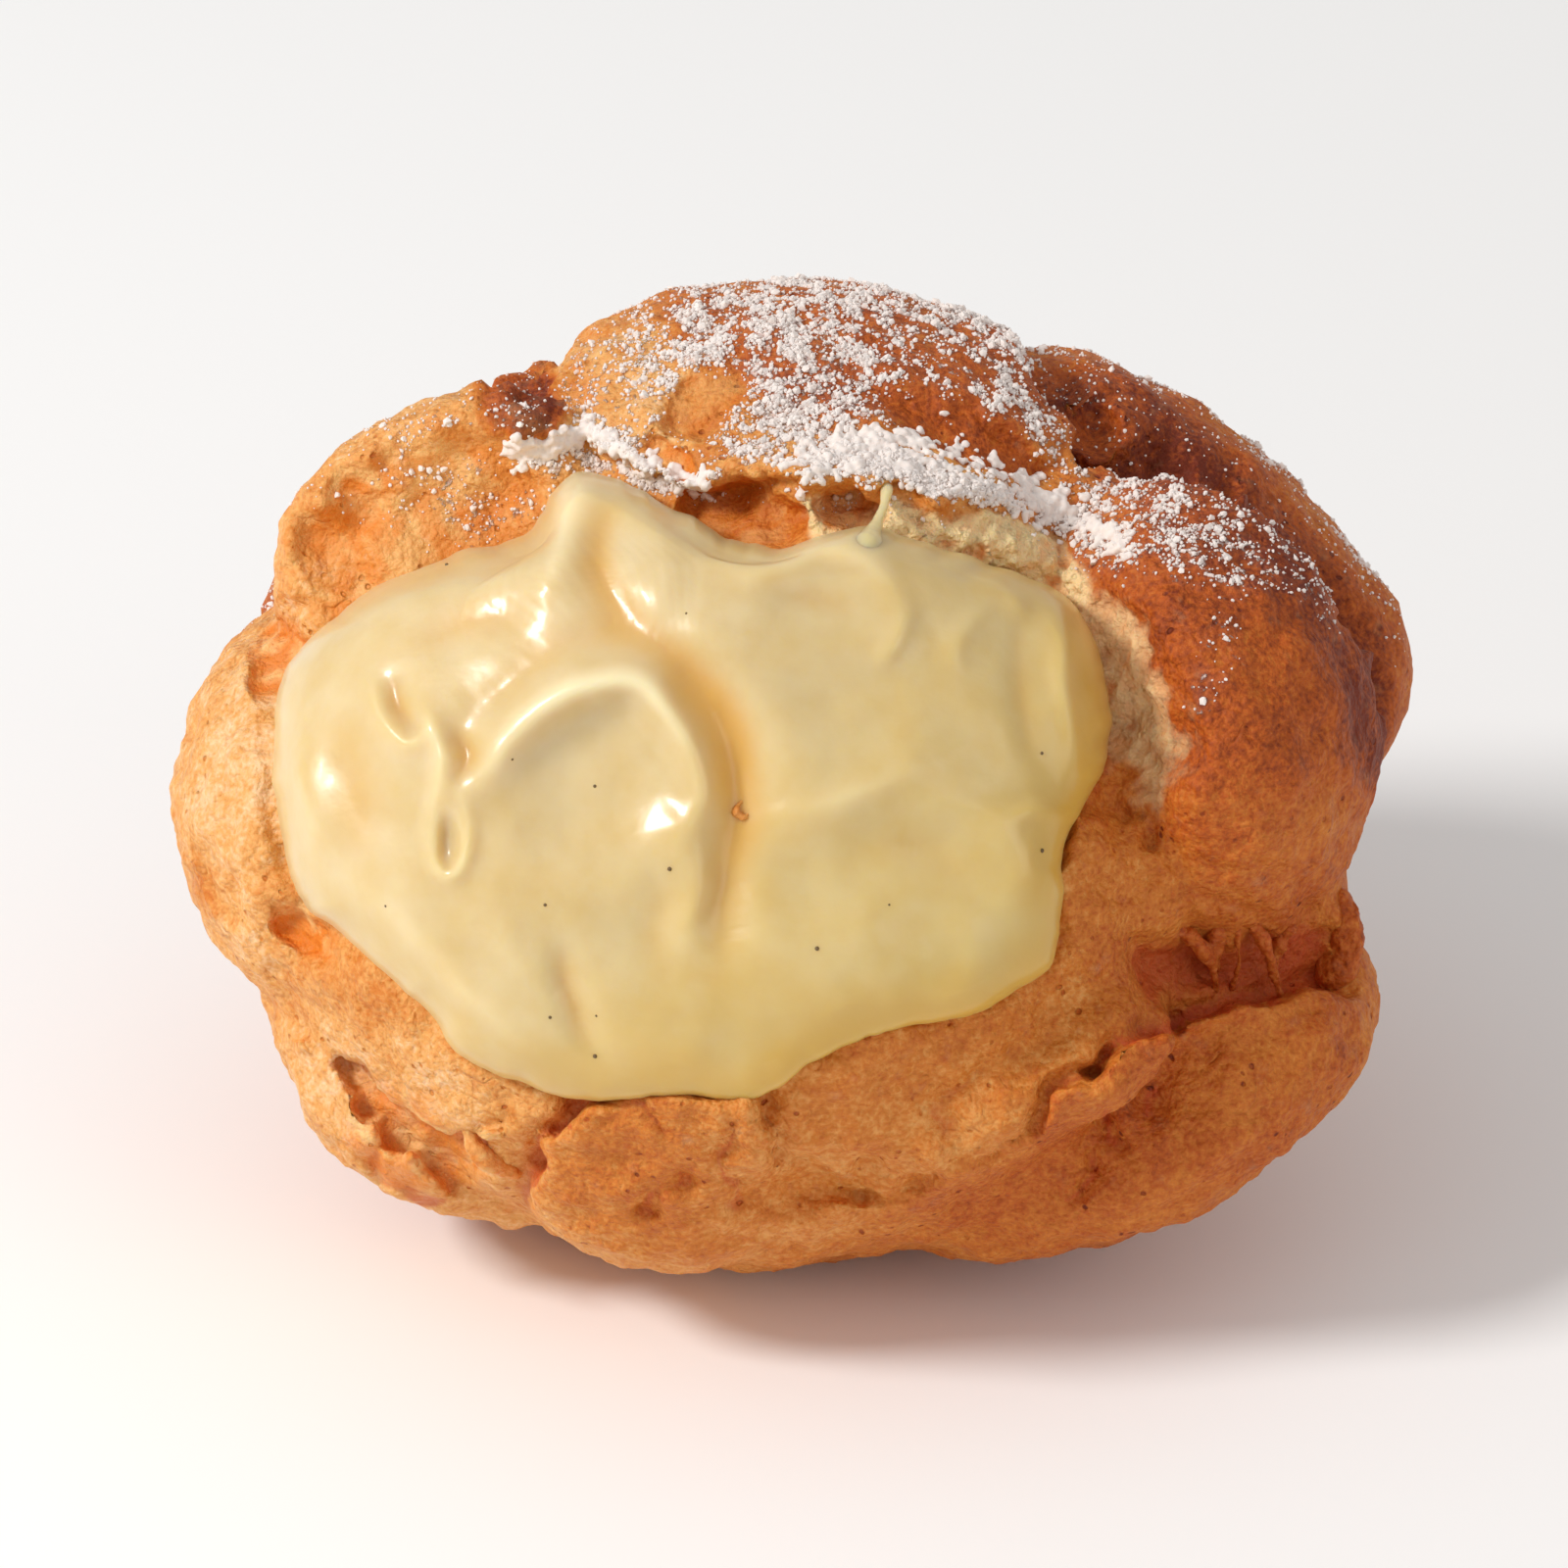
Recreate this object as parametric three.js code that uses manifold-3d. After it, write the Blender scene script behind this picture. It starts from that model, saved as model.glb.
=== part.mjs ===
// A large cream puff with its front torn open: one baked choux shell, and the custard cream that fills it.
// Units are millimetres, +Z is up and the torn face looks towards -Y. The origin is the middle of the flat
// base.
// Shapes are worked out from the middle of the body, and the whole is moved onto its base at the end.
import * as THREE from "three";
import { mergeVertices } from "three/addons/utils/BufferGeometryUtils.js";
import Module from "manifold-3d";

const wasm = await Module();
wasm.setup();

// Driving dimensions.
const HEIGHT = 61; // from the flat base to the top of the lid
const FACE_LEAN = THREE.MathUtils.degToRad(30); // how far the torn face leans back from upright
const LOBE_MELT = 2; // how far two lobes run into each other
const FIT_GAP = 0.35; // clearance between the cream and the shell
const CREAM_FRONT = 32.5; // how far the cream bulges out of the middle of the body
const CREAM_BACK = -26; // how deep the cream goes into the shell
const CREAM_FULLNESS = 2.4; // 2 is a round cushion, more is a flatter one with steeper sides
const RIM_DROP = [0.8, 0.6]; // how far the cream's edge is below the crust: at once, and per mm of torn band
const MOUTH_SINK = 3; // how far the crust is sunk behind the cream inside the mouth
const TORN_HOLLOW = 1.2; // 1 is a straight slope from the tear to the cream, more is a hollow one
const LIP_SLOPE = 1.6; // half the width over which a torn lip drops to its undercut
const UNDERCUT_WIDTH = 3;
const CRUST_FACETS = 16;
const CREAM_FACETS = 11;

// Lobes of the crust. Each is an egg shape: its middle and half sizes along x, y and z, and its turn in
// degrees about Y, across the face.
const LOBES = {
  body: { at: [-2.4, 1, -4], half: [36, 35, 28.6], turn: 0 },
  lidCrest: { at: [0.8, 9, 23.6], half: [17.8, 14, 6.8], turn: 3 },
  lidFront: { at: [1.5, -1, 15.5], half: [16.5, 17, 12.5], turn: 0 },
  right: { at: [27.6, -4, 8], half: [12.2, 18, 16], turn: 0 },
  backRight: { at: [24.8, 11.5, 11], half: [20, 15, 9.2], turn: 38 },
  rightEnd: { at: [33, 10, 2.4], half: [9.2, 11, 9.4], turn: 0 },
  lowerRight: { at: [26.6, -7, -6], half: [11.4, 14, 6.5], turn: 0 },
  rightSkirt: { at: [22.3, -10.9, -17.5], half: [19, 15.3, 8.2], turn: -25.5 },
  leftSkirt: { at: [-24, -9, -17.3], half: [12.4, 13, 8.3], turn: 34 },
  frontPlate: { at: [-9, -22.6, -15.6], half: [9.5, 8.5, 8.7], turn: 0 },
  frontRim: { at: [12, -25, -9], half: [14, 7, 5], turn: -18 },
  leftWall: { at: [-32.2, -1, -1], half: [10.1, 16, 13.2], turn: 0 },
  leftWing: { at: [-24.7, 1.5, 18.9], half: [12.2, 8, 7.6], turn: -34 },
  backLeft: { at: [-20, 17, 0], half: [17, 17, 15], turn: 0 },
  back: { at: [6, 21.5, -3], half: [20, 13.5, 18], turn: 0 },
  backRim: { at: [-17, 13, 17.6], half: [5.5, 7, 6], turn: 0 },
};

// Places on the torn face are (across, up). The mouth is where the cream meets the torn edge, and the tear
// is where the baked crust ends outside it. Both run clockwise from the top.
const MOUTH = curveThrough(
  [
    [-14, 19.8], [-5, 15.5], [-0.7, 14.8], [3, 16.3], [10, 14.8], [18.7, 11.3], [20.6, 3.5],
    [17.6, -3.6], [17.5, -10.5], [10, -16], [5.5, -16.4], [-3.4, -21.2], [-12.2, -21.3],
    [-21.8, -18.7], [-25.2, -14], [-32.8, -8], [-35, 0], [-33.6, 7.8], [-23, 15.3], [-18, 17],
  ],
  true,
);
const TEAR = curveThrough(
  [
    [-14.8, 23.7], [-7.4, 20], [4, 19.2], [16.7, 17.6], [24, 10.3], [28, 1.6], [19.4, -2.8],
    [17.2, -7.2], [18.4, -10.5], [10, -16.6], [2.6, -18.4], [-3, -21.8], [-12.1, -22],
    [-18.2, -20.9], [-27.8, -12.1], [-34.9, -6.5], [-36.8, 4], [-34.9, 9.6], [-32.2, 17.7],
    [-29.9, 22.7], [-26.2, 25.2], [-20.8, 24.4],
  ],
  true,
);

// Lips of crust that stand up to the right of a torn line and fade away from it, with an undercut to its
// left. lift and cut are given at the line's two ends.
const LIPS = {
  rightSkirt: {
    line: curveThrough([
      [5.3, -29.1], [13.3, -25.9], [17.7, -21.9], [21.7, -18.5], [30.1, -16.2], [39.1, -15.8],
    ]),
    lift: [1, 2.6],
    fade: 7,
    cut: [1, 3],
  },
  leftSkirt: {
    line: curveThrough([[-35.3, -16.5], [-31.2, -20.2], [-27.5, -24.6], [-24.9, -26.2], [-22.8, -29.9]]),
    lift: [1.4, 1.8],
    fade: 6,
    cut: [0.8, 2.2],
  },
  frontPlate: {
    line: curveThrough([
      [-16.8, -30.6], [-17.4, -24.9], [-13.8, -21.2], [-9.8, -20.3], [-4.8, -21.1], [-1.4, -24.9],
    ]),
    lift: [1.2, 1.6],
    fade: 7,
    cut: [1.2, 2],
  },
  lidEdge: {
    line: curveThrough([[20, 14.6], [12.7, 18.8], [4, 19], [-3.5, 19.4], [-9.5, 20.9], [-14.8, 23.5]]),
    lift: [1.2, 2],
    fade: 4,
    cut: [0.5, 2.6],
  },
};

// Creases between lobes: line, width and depth.
const CREASES = {
  underRightLobe: {
    line: curveThrough([[22, -14], [29, -13.6], [37.5, -11.8]]),
    width: 2.8,
    depth: 3.4,
  },
  betweenRightLobes: {
    line: curveThrough([[18.6, 20.6], [26.1, 21.4], [36, 12.6], [39.5, 2]]),
    width: 2,
    depth: 1.4,
  },
};

// Smooth hollows: middle, half sizes, turn in degrees and depth.
const HOLLOWS = {
  wingInside: { at: [-25.5, 17.5], half: [9.5, 5.5], turn: 32, depth: 4 },
  underLid: { at: [-3.6, 17.6], half: [4.6, 2.2], turn: -5, depth: 3.6 },
  basePocket: { at: [1.5, -27.3], half: [5, 2.6], turn: 10, depth: 2.4 },
};

const ACROSS = new THREE.Vector3(1, 0, 0);
const UP = new THREE.Vector3(0, Math.sin(FACE_LEAN), Math.cos(FACE_LEAN));
const OUT = new THREE.Vector3(0, -Math.cos(FACE_LEAN), Math.sin(FACE_LEAN));

function fromFace(across, up, out) {
  const place = new THREE.Vector3().addScaledVector(ACROSS, across).addScaledVector(UP, up);
  return place.addScaledVector(OUT, out);
}

function curveThrough(points, closed = false) {
  const curve = new THREE.SplineCurve(points.map(([across, up]) => new THREE.Vector2(across, up)));
  if (closed) curve.points.push(curve.points[0].clone());
  return curve.getPoints(4 * (curve.points.length - 1));
}

// How far a place on the face is from a line, how far along the line (0 to 1) it is nearest, and whether
// it is to the right of somebody who walks along the line.
function nearLine(across, up, line) {
  let best = { gap: Infinity, along: 0, right: true };
  for (let i = 0; i + 1 < line.length; i++) {
    const stepAcross = line[i + 1].x - line[i].x;
    const stepUp = line[i + 1].y - line[i].y;
    const fromAcross = across - line[i].x;
    const fromUp = up - line[i].y;
    const length = stepAcross ** 2 + stepUp ** 2 || 1e-9;
    const share = THREE.MathUtils.clamp((fromAcross * stepAcross + fromUp * stepUp) / length, 0, 1);
    const gap = Math.hypot(fromAcross - share * stepAcross, fromUp - share * stepUp);
    if (gap < best.gap) {
      const right = fromAcross * stepUp - fromUp * stepAcross > 0;
      best = { gap, along: (i + share) / (line.length - 1), right };
    }
  }
  return best;
}

function insideLine(across, up, line) {
  let inside = false;
  for (let i = 0; i + 1 < line.length; i++) {
    const [a, b] = [line[i], line[i + 1]];
    if (a.y > up !== b.y > up && across < ((b.x - a.x) * (up - a.y)) / (b.y - a.y) + a.x) inside = !inside;
  }
  return inside;
}

// 0 at the middle of an oval on the face and 1 at its edge.
function onOval(across, up, { at, half, turn }) {
  const angle = THREE.MathUtils.degToRad(turn);
  const right = across - at[0];
  const above = up - at[1];
  return Math.hypot(
    (right * Math.cos(angle) + above * Math.sin(angle)) / half[0],
    (above * Math.cos(angle) - right * Math.sin(angle)) / half[1],
  );
}

// About how far a point is outside an egg shape, negative inside.
function eggDistance(point, { at, half, turn }) {
  const size = new THREE.Vector3(...half);
  const away = point.clone().sub(new THREE.Vector3(...at));
  away.applyAxisAngle(new THREE.Vector3(0, 1, 0), -THREE.MathUtils.degToRad(turn));
  const scaled = away.divide(size);
  const level = scaled.length();
  const steep = scaled.clone().divide(size).length();
  return (level * (level - 1)) / Math.max(steep, 1e-6);
}

// The lobes melted into one another.
function crustDistance(point) {
  return Object.values(LOBES).reduce((whole, lobe) => {
    const found = eggDistance(point, lobe);
    if (whole === null) return found;
    const blend = THREE.MathUtils.clamp(0.5 + (0.5 * (whole - found)) / LOBE_MELT, 0, 1);
    return THREE.MathUtils.lerp(whole, found, blend) - LOBE_MELT * blend * (1 - blend);
  }, null);
}

// The point of the melted lobes that lies furthest from the middle along a direction.
function crustPoint(direction) {
  let reach = HEIGHT;
  for (let step = 0; step < 28; step++) {
    const gap = crustDistance(direction.clone().multiplyScalar(reach));
    reach -= 0.85 * THREE.MathUtils.clamp(gap, -1, 12);
  }
  return direction.clone().multiplyScalar(reach);
}

// How far out the melted lobes lie at a place on the face.
function frontLevel(across, up) {
  let out = HEIGHT;
  for (let step = 0; step < 28; step++) {
    out -= 0.85 * THREE.MathUtils.clamp(crustDistance(fromFace(across, up, out)), -1, 12);
  }
  return out;
}

// The mouth seen from its middle: how far away its edge is at an angle, and how far out the cream is there.
const MOUTH_MIDDLE = MOUTH.reduce((sum, place) => sum.add(place), new THREE.Vector2());
MOUTH_MIDDLE.divideScalar(MOUTH.length);
const MOUTH_EDGE = MOUTH.map((place) => place.clone().sub(MOUTH_MIDDLE));
const RIM_LEVELS = MOUTH.map((place) => {
  const drop = RIM_DROP[0] + RIM_DROP[1] * nearLine(place.x, place.y, TEAR).gap;
  return frontLevel(place.x, place.y) - drop;
});

function mouthEdge(angle) {
  const ray = new THREE.Vector2(Math.cos(angle), Math.sin(angle));
  const edge = { reach: 0, rim: 0 };
  for (let i = 0; i + 1 < MOUTH_EDGE.length; i++) {
    const [a, b] = [MOUTH_EDGE[i], MOUTH_EDGE[i + 1]];
    const [sideA, sideB] = [ray.cross(a), ray.cross(b)];
    if (sideA > 0 === sideB > 0) continue;
    const share = sideA / (sideA - sideB);
    const reach = a.clone().lerp(b, share).dot(ray);
    if (reach <= edge.reach) continue;
    edge.reach = reach;
    edge.rim = THREE.MathUtils.lerp(RIM_LEVELS[i], RIM_LEVELS[i + 1], share);
  }
  return edge;
}

// 1 along most of a line and 0 at its two ends.
function bothEnds(along, share) {
  return THREE.MathUtils.smoothstep(along, 0, share) * THREE.MathUtils.smoothstep(1 - along, 0, share);
}

// How far lips, creases and hollows move the crust outwards at a place on the face.
function relief(across, up) {
  let raised = 0;
  for (const { line, lift, fade, cut } of Object.values(LIPS)) {
    const { gap, along, right } = nearLine(across, up, line);
    const ends = bothEnds(along, 0.1);
    const over = THREE.MathUtils.smoothstep(right ? gap : -gap, -LIP_SLOPE, LIP_SLOPE);
    const lip = THREE.MathUtils.lerp(...lift, along) * Math.exp(-gap / fade);
    const undercut = THREE.MathUtils.lerp(...cut, along) * Math.exp(-((gap / UNDERCUT_WIDTH) ** 2));
    raised += ends * THREE.MathUtils.lerp(-undercut, lip, over);
  }
  for (const { line, width, depth } of Object.values(CREASES)) {
    const { gap, along } = nearLine(across, up, line);
    const ends = bothEnds(along, 0.15);
    raised -= ends * depth * Math.exp(-((gap / width) ** 2));
  }
  for (const hollow of Object.values(HOLLOWS)) {
    raised -= hollow.depth * (1 - THREE.MathUtils.smoothstep(onOval(across, up, hollow), 0.35, 1.15));
  }
  return raised;
}

// The crust is sunk behind the mouth, and slopes from the tear down to the cream between the two.
function tornLevel(across, up, out) {
  if (out <= 0 || !insideLine(across, up, TEAR)) return out;
  const toMouth = nearLine(across, up, MOUTH).gap;
  const toTear = nearLine(across, up, TEAR).gap;
  const { rim } = mouthEdge(Math.atan2(up - MOUTH_MIDDLE.y, across - MOUTH_MIDDLE.x));
  const sunk = rim - MOUTH_SINK * THREE.MathUtils.smoothstep(toMouth, 0, 2);
  if (insideLine(across, up, MOUTH)) return Math.min(sunk, out);
  const band = toMouth / Math.max(toMouth + toTear, 1e-6);
  return Math.min(THREE.MathUtils.lerp(rim, out, band ** TORN_HOLLOW), out);
}

// A ball of facets whose every point is moved by a function, as a solid.
function shapedBall(facets, move) {
  const ball = new THREE.IcosahedronGeometry(1, facets);
  const places = ball.attributes.position;
  for (let i = 0; i < places.count; i++) {
    const direction = new THREE.Vector3().fromBufferAttribute(places, i).normalize();
    places.setXYZ(i, ...move(direction));
  }
  return solid(ball);
}

function solid(geometry) {
  geometry.deleteAttribute("normal");
  geometry.deleteAttribute("uv");
  const merged = mergeVertices(geometry, 1e-3);
  return new wasm.Manifold(
    new wasm.Mesh({
      numProp: 3,
      vertProperties: new Float32Array(merged.attributes.position.array),
      triVerts: new Uint32Array(merged.index.array),
    }),
  );
}

function crust() {
  return shapedBall(CRUST_FACETS, (direction) => {
    const point = crustPoint(direction);
    const [across, up, out] = [point.dot(ACROSS), point.dot(UP), point.dot(OUT)];
    const front = THREE.MathUtils.smoothstep(out, -6, 4);
    return fromFace(across, up, tornLevel(across, up, out + front * relief(across, up)));
  });
}

// The cream is a plug: its front is the cushion in the mouth and its sides close in towards the back of
// the shell. spare makes it that much bigger all round.
function cream(spare) {
  return shapedBall(CREAM_FACETS, (direction) => {
    const angle = Math.atan2(direction.y, direction.x);
    const { reach, rim } = mouthEdge(angle);
    const end = direction.z > 0 ? CREAM_FRONT + spare : CREAM_BACK - spare;
    const wide = Math.hypot(direction.x, direction.y);
    const deep = Math.abs(direction.z);
    const full = (wide ** CREAM_FULLNESS + deep ** CREAM_FULLNESS) ** (-1 / CREAM_FULLNESS);
    const away = wide * full * (reach + spare);
    const across = MOUTH_MIDDLE.x + Math.cos(angle) * away;
    const up = MOUTH_MIDDLE.y + Math.sin(angle) * away;
    return fromFace(across, up, rim + deep * full * (end - rim));
  });
}

// Everything under the base plane is cut away, so the puff stands flat.
function underBase() {
  const slab = new THREE.BoxGeometry(3 * HEIGHT, 3 * HEIGHT, HEIGHT);
  slab.translate(0, 0, -HEIGHT);
  return solid(slab);
}

function largestPiece(made) {
  return made.decompose().sort((a, b) => b.volume() - a.volume())[0];
}

function meshOf(name, made, colour, roughness) {
  const { numProp, vertProperties, triVerts } = made.getMesh();
  const geometry = new THREE.BufferGeometry();
  geometry.setAttribute("position", new THREE.BufferAttribute(Float32Array.from(vertProperties), numProp));
  geometry.setIndex(new THREE.BufferAttribute(triVerts, 1));
  geometry.computeVertexNormals();
  const material = new THREE.MeshStandardMaterial({ color: colour, roughness, metalness: 0 });
  const mesh = new THREE.Mesh(geometry, material);
  mesh.name = name;
  return mesh;
}

const shell = largestPiece(crust().subtract(underBase()).subtract(cream(FIT_GAP)));
const filling = cream(0);

const puff = new THREE.Group();
puff.add(meshOf("choux_shell", shell, 0xc27a3e, 0.75));
puff.add(meshOf("custard_cream", filling, 0xf2e2ab, 0.35));
const outline = new THREE.Box3().setFromObject(puff);
const outlineMiddle = outline.getCenter(new THREE.Vector3());
puff.position.set(-outlineMiddle.x, -outlineMiddle.y, -outline.min.z);

export default puff;
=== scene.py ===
"""A large cream puff with its front torn open, showing the custard cream that fills it.

Lengths are millimetres from the middle of the puff's body until a piece is finished, and metres after that.
"""

import math

import bmesh
import bpy
import numpy as np
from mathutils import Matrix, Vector, noise


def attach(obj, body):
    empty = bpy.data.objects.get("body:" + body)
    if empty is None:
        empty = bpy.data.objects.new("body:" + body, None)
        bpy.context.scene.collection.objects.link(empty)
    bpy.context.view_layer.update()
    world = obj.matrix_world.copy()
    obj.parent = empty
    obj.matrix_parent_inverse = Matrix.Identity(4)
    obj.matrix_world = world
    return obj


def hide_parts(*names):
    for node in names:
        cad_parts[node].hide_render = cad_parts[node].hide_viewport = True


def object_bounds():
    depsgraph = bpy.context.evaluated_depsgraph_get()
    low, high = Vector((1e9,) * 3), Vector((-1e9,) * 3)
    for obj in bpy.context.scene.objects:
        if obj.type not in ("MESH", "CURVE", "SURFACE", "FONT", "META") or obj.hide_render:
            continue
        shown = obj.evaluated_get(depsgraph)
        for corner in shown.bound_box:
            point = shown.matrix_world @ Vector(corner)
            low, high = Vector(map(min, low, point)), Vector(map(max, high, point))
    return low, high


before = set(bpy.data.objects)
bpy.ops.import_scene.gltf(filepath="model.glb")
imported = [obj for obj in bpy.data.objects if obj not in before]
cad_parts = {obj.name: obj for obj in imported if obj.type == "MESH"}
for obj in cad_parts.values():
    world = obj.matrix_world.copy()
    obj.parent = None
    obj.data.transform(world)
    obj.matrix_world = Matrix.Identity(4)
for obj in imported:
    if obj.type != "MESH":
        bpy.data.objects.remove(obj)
cad_low, cad_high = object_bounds()

# ---------------------------------------------------------------- the puff's frame
# The torn face leans back from upright. A place on it is given as across (to the right), up (along
# the face) and out (square to it, towards whoever looks at the cream).
MM = 0.001
BODY_SHIFT = Vector((-0.06, -0.49, 0.0))  # the body's middle, from the middle of the whole puff's box
MIDDLE = (cad_low + cad_high) / 2 + BODY_SHIFT * MM
LEAN = math.radians(30)
ACROSS = np.array([1.0, 0.0, 0.0])
UP = np.array([0.0, math.sin(LEAN), math.cos(LEAN)])
OUT = np.array([0.0, -math.cos(LEAN), math.sin(LEAN)])
BASE = -(MIDDLE.z - cad_low.z) / MM


def face_places(points):
    """Across, up and out of an array of points."""
    return points @ ACROSS, points @ UP, points @ OUT


def smooth_step(low, high, values):
    share = np.clip((values - low) / (high - low), 0, 1)
    return share * share * (3 - 2 * share)


# ---------------------------------------------------------------- camera and studio
# A long lens looks square on to the torn face, over a plain pale floor. The main light is a wide
# soft one on the left, and a weaker one fills in from the right.
VIEW_DISTANCE = 1.2
VIEW_WIDTH = 0.1072
AIM = (-0.7 * MM, -0.45 * MM)
ROOM_LIGHT = 0.53
FLOOR_SIZE = 3.0

scene = bpy.context.scene
scene.view_settings.view_transform = "Standard"
view_out = Vector(OUT)
view_target = MIDDLE + Vector(ACROSS) * AIM[0] + Vector(UP) * AIM[1]
camera_data = bpy.data.cameras.new("camera")
camera_data.sensor_width = 36
camera_data.lens = camera_data.sensor_width * VIEW_DISTANCE / VIEW_WIDTH
camera_data.clip_start = 0.01
camera = bpy.data.objects.new("camera", camera_data)
camera.location = view_target + view_out * VIEW_DISTANCE
camera.rotation_euler = view_out.to_track_quat("Z", "Y").to_euler()
scene.collection.objects.link(camera)
scene.camera = camera

world = bpy.data.worlds.new("studio")
world.use_nodes = True
world.node_tree.nodes["Background"].inputs["Color"].default_value = (1.0, 0.99, 0.98, 1)
world.node_tree.nodes["Background"].inputs["Strength"].default_value = ROOM_LIGHT
scene.world = world


def soft_light(name, place, width, power, colour):
    data = bpy.data.lights.new(name, "AREA")
    data.shape = "DISK"
    data.size = width
    data.energy = power
    data.color = colour
    lamp = bpy.data.objects.new(name, data)
    lamp.location = MIDDLE + Vector(place)
    lamp.rotation_euler = (lamp.location - MIDDLE).to_track_quat("Z", "Y").to_euler()
    scene.collection.objects.link(lamp)


soft_light("main_light", (-0.55, -0.22, 0.50), 0.19, 4.2, (1.0, 0.985, 0.965))
soft_light("fill_light", (0.6, -0.5, 0.34), 0.5, 0.75, (1.0, 0.97, 0.93))

floor_mesh = bmesh.new()
bmesh.ops.create_grid(floor_mesh, x_segments=1, y_segments=1, size=FLOOR_SIZE)
floor_data = bpy.data.meshes.new("floor")
floor_mesh.to_mesh(floor_data)
floor_mesh.free()
floor = bpy.data.objects.new("floor", floor_data)
floor_material = bpy.data.materials.new("pale_floor")
floor_material.use_nodes = True
floor_sockets = floor_material.node_tree.nodes["Principled BSDF"].inputs
floor_sockets["Base Color"].default_value = (0.97, 0.97, 0.97, 1)
floor_sockets["Roughness"].default_value = 0.8
floor_data.materials.append(floor_material)
scene.collection.objects.link(floor)

# ---------------------------------------------------------------- baked choux shell: lobes
# Choux pastry blown up into lobes in the oven. The lobes are egg shapes melted into one another.
LOBES = {
    # name: (middle, half sizes, turn about Y in degrees)
    "body": ((-2.4, 1, -4), (36, 35, 28.6), 0),
    "lid_crest": ((0.8, 9, 23.6), (17.8, 14, 6.8), 3),
    "lid_front": ((1.5, -1, 15.5), (16.5, 17, 12.5), 0),
    "right": ((27.6, -4, 8), (12.2, 18, 16), -7),
    "back_right": ((24.7, 11.5, 10.8), (20, 15, 9.2), 38),
    "right_end": ((33.0, 10, 2.4), (9.2, 11, 9.4), 0),
    "lower_right": ((26.6, -7, -6), (11.4, 14, 6.5), 0),
    "right_skirt": ((22.3, -10.9, -17.5), (19.0, 15.3, 8.2), -25.5),
    "left_skirt": ((-24, -9, -17.3), (12.4, 13, 8.3), 34),
    "front_plate": ((-9, -22.6, -15.6), (9.5, 8.5, 8.7), 0),
    "front_rim": ((12, -25, -9), (14, 7, 5), -18),
    "left_wall": ((-32.2, -1, -1), (10.1, 16, 13.2), 0),
    "left_wing": ((-24.7, 1.5, 18.9), (12.2, 8, 7.6), -34),
    "back_left": ((-20, 17, 0), (17, 17, 15), 0),
    "back": ((6, 21.5, -3), (20, 13.5, 18), 0),
    "back_rim": ((-17, 13, 17.6), (5.5, 7, 6), 0),
}
LOBE_MELT = 2.0  # how far two lobes run into each other
FAR_OUT = 60.0  # outside every lobe
WALK_STEPS = 28  # how many steps it takes to walk in from far out to the surface
LONGEST_STEP = 12.0
STEP_SHARE = 0.85  # how much of the distance that is left each step takes


def egg_distance(points, middle, half, turn):
    """About how far points are outside an egg shape, negative inside."""
    cosine, sine = math.cos(math.radians(turn)), math.sin(math.radians(turn))
    away = points - np.array(middle, float)
    x = away[:, 0] * cosine - away[:, 2] * sine
    z = away[:, 0] * sine + away[:, 2] * cosine
    scaled = np.stack([x / half[0], away[:, 1] / half[1], z / half[2]], 1)
    level = np.linalg.norm(scaled, axis=1)
    steep = np.linalg.norm(scaled / np.array(half, float), axis=1)
    return level * (level - 1) / np.maximum(steep, 1e-6)


def crust_distance(points):
    whole = None
    for middle, half, turn in LOBES.values():
        found = egg_distance(points, middle, half, turn)
        if whole is None:
            whole = found
            continue
        blend = np.clip(0.5 + 0.5 * (whole - found) / LOBE_MELT, 0, 1)
        whole = whole + (found - whole) * blend - LOBE_MELT * blend * (1 - blend)
    return whole


def lobe_points(starts, directions):
    """Where the melted lobes are met along each direction, coming from far out towards the starts."""
    reach = np.full(len(directions), FAR_OUT)
    for _ in range(WALK_STEPS):
        gap = crust_distance(starts + directions * reach[:, None])
        reach -= np.clip(gap, -1.0, LONGEST_STEP) * STEP_SHARE
    return starts + directions * reach[:, None]


def curve_through(points, closed=False, steps=8):
    """A smooth line through a few points, as an array of many."""
    given = np.array(points, float)
    count = len(given)
    spans = count if closed else count - 1
    pick = (lambda i: given[i % count]) if closed else (lambda i: given[min(max(i, 0), count - 1)])
    line = []
    for span in range(spans):
        a, b, c, d = (pick(span + offset) for offset in (-1, 0, 1, 2))
        for share in np.arange(steps) / steps:
            bend = (2 * a - 5 * b + 4 * c - d) * share**2 + (3 * b - 3 * c + d - a) * share**3
            line.append(b + 0.5 * ((c - a) * share + bend))
    if not closed:
        line.append(given[-1])
    return np.array(line)


def near_line(across, up, line, closed=False):
    """How far each place on the face is from a line, how far along it (0 to 1), and 1 to its right or -1."""
    ends = np.vstack([line, line[:1]]) if closed else line
    best = np.full(len(across), 1e9)
    along = np.zeros(len(across))
    side = np.ones(len(across))
    spans = len(ends) - 1
    for i in range(spans):
        a, b = ends[i], ends[i + 1]
        step = b - a
        share = ((across - a[0]) * step[0] + (up - a[1]) * step[1]) / max(step @ step, 1e-9)
        share = np.clip(share, 0, 1)
        gap = np.hypot(across - a[0] - share * step[0], up - a[1] - share * step[1])
        nearer = gap < best - 1e-9
        turn = (across - a[0]) * step[1] - (up - a[1]) * step[0]
        best = np.where(nearer, gap, best)
        along = np.where(nearer, (i + share) / spans, along)
        side = np.where(nearer, np.sign(turn), side)
    return best, along, side


def inside_line(across, up, line):
    """True where a place on the face is inside a closed line."""
    inside = np.zeros(len(across), bool)
    for a, b in zip(line, np.roll(line, -1, axis=0)):
        if a[1] == b[1]:
            continue
        crossed = (a[1] > up) != (b[1] > up)
        inside ^= crossed & (across < (b[0] - a[0]) * (up - a[1]) / (b[1] - a[1]) + a[0])
    return inside


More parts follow.
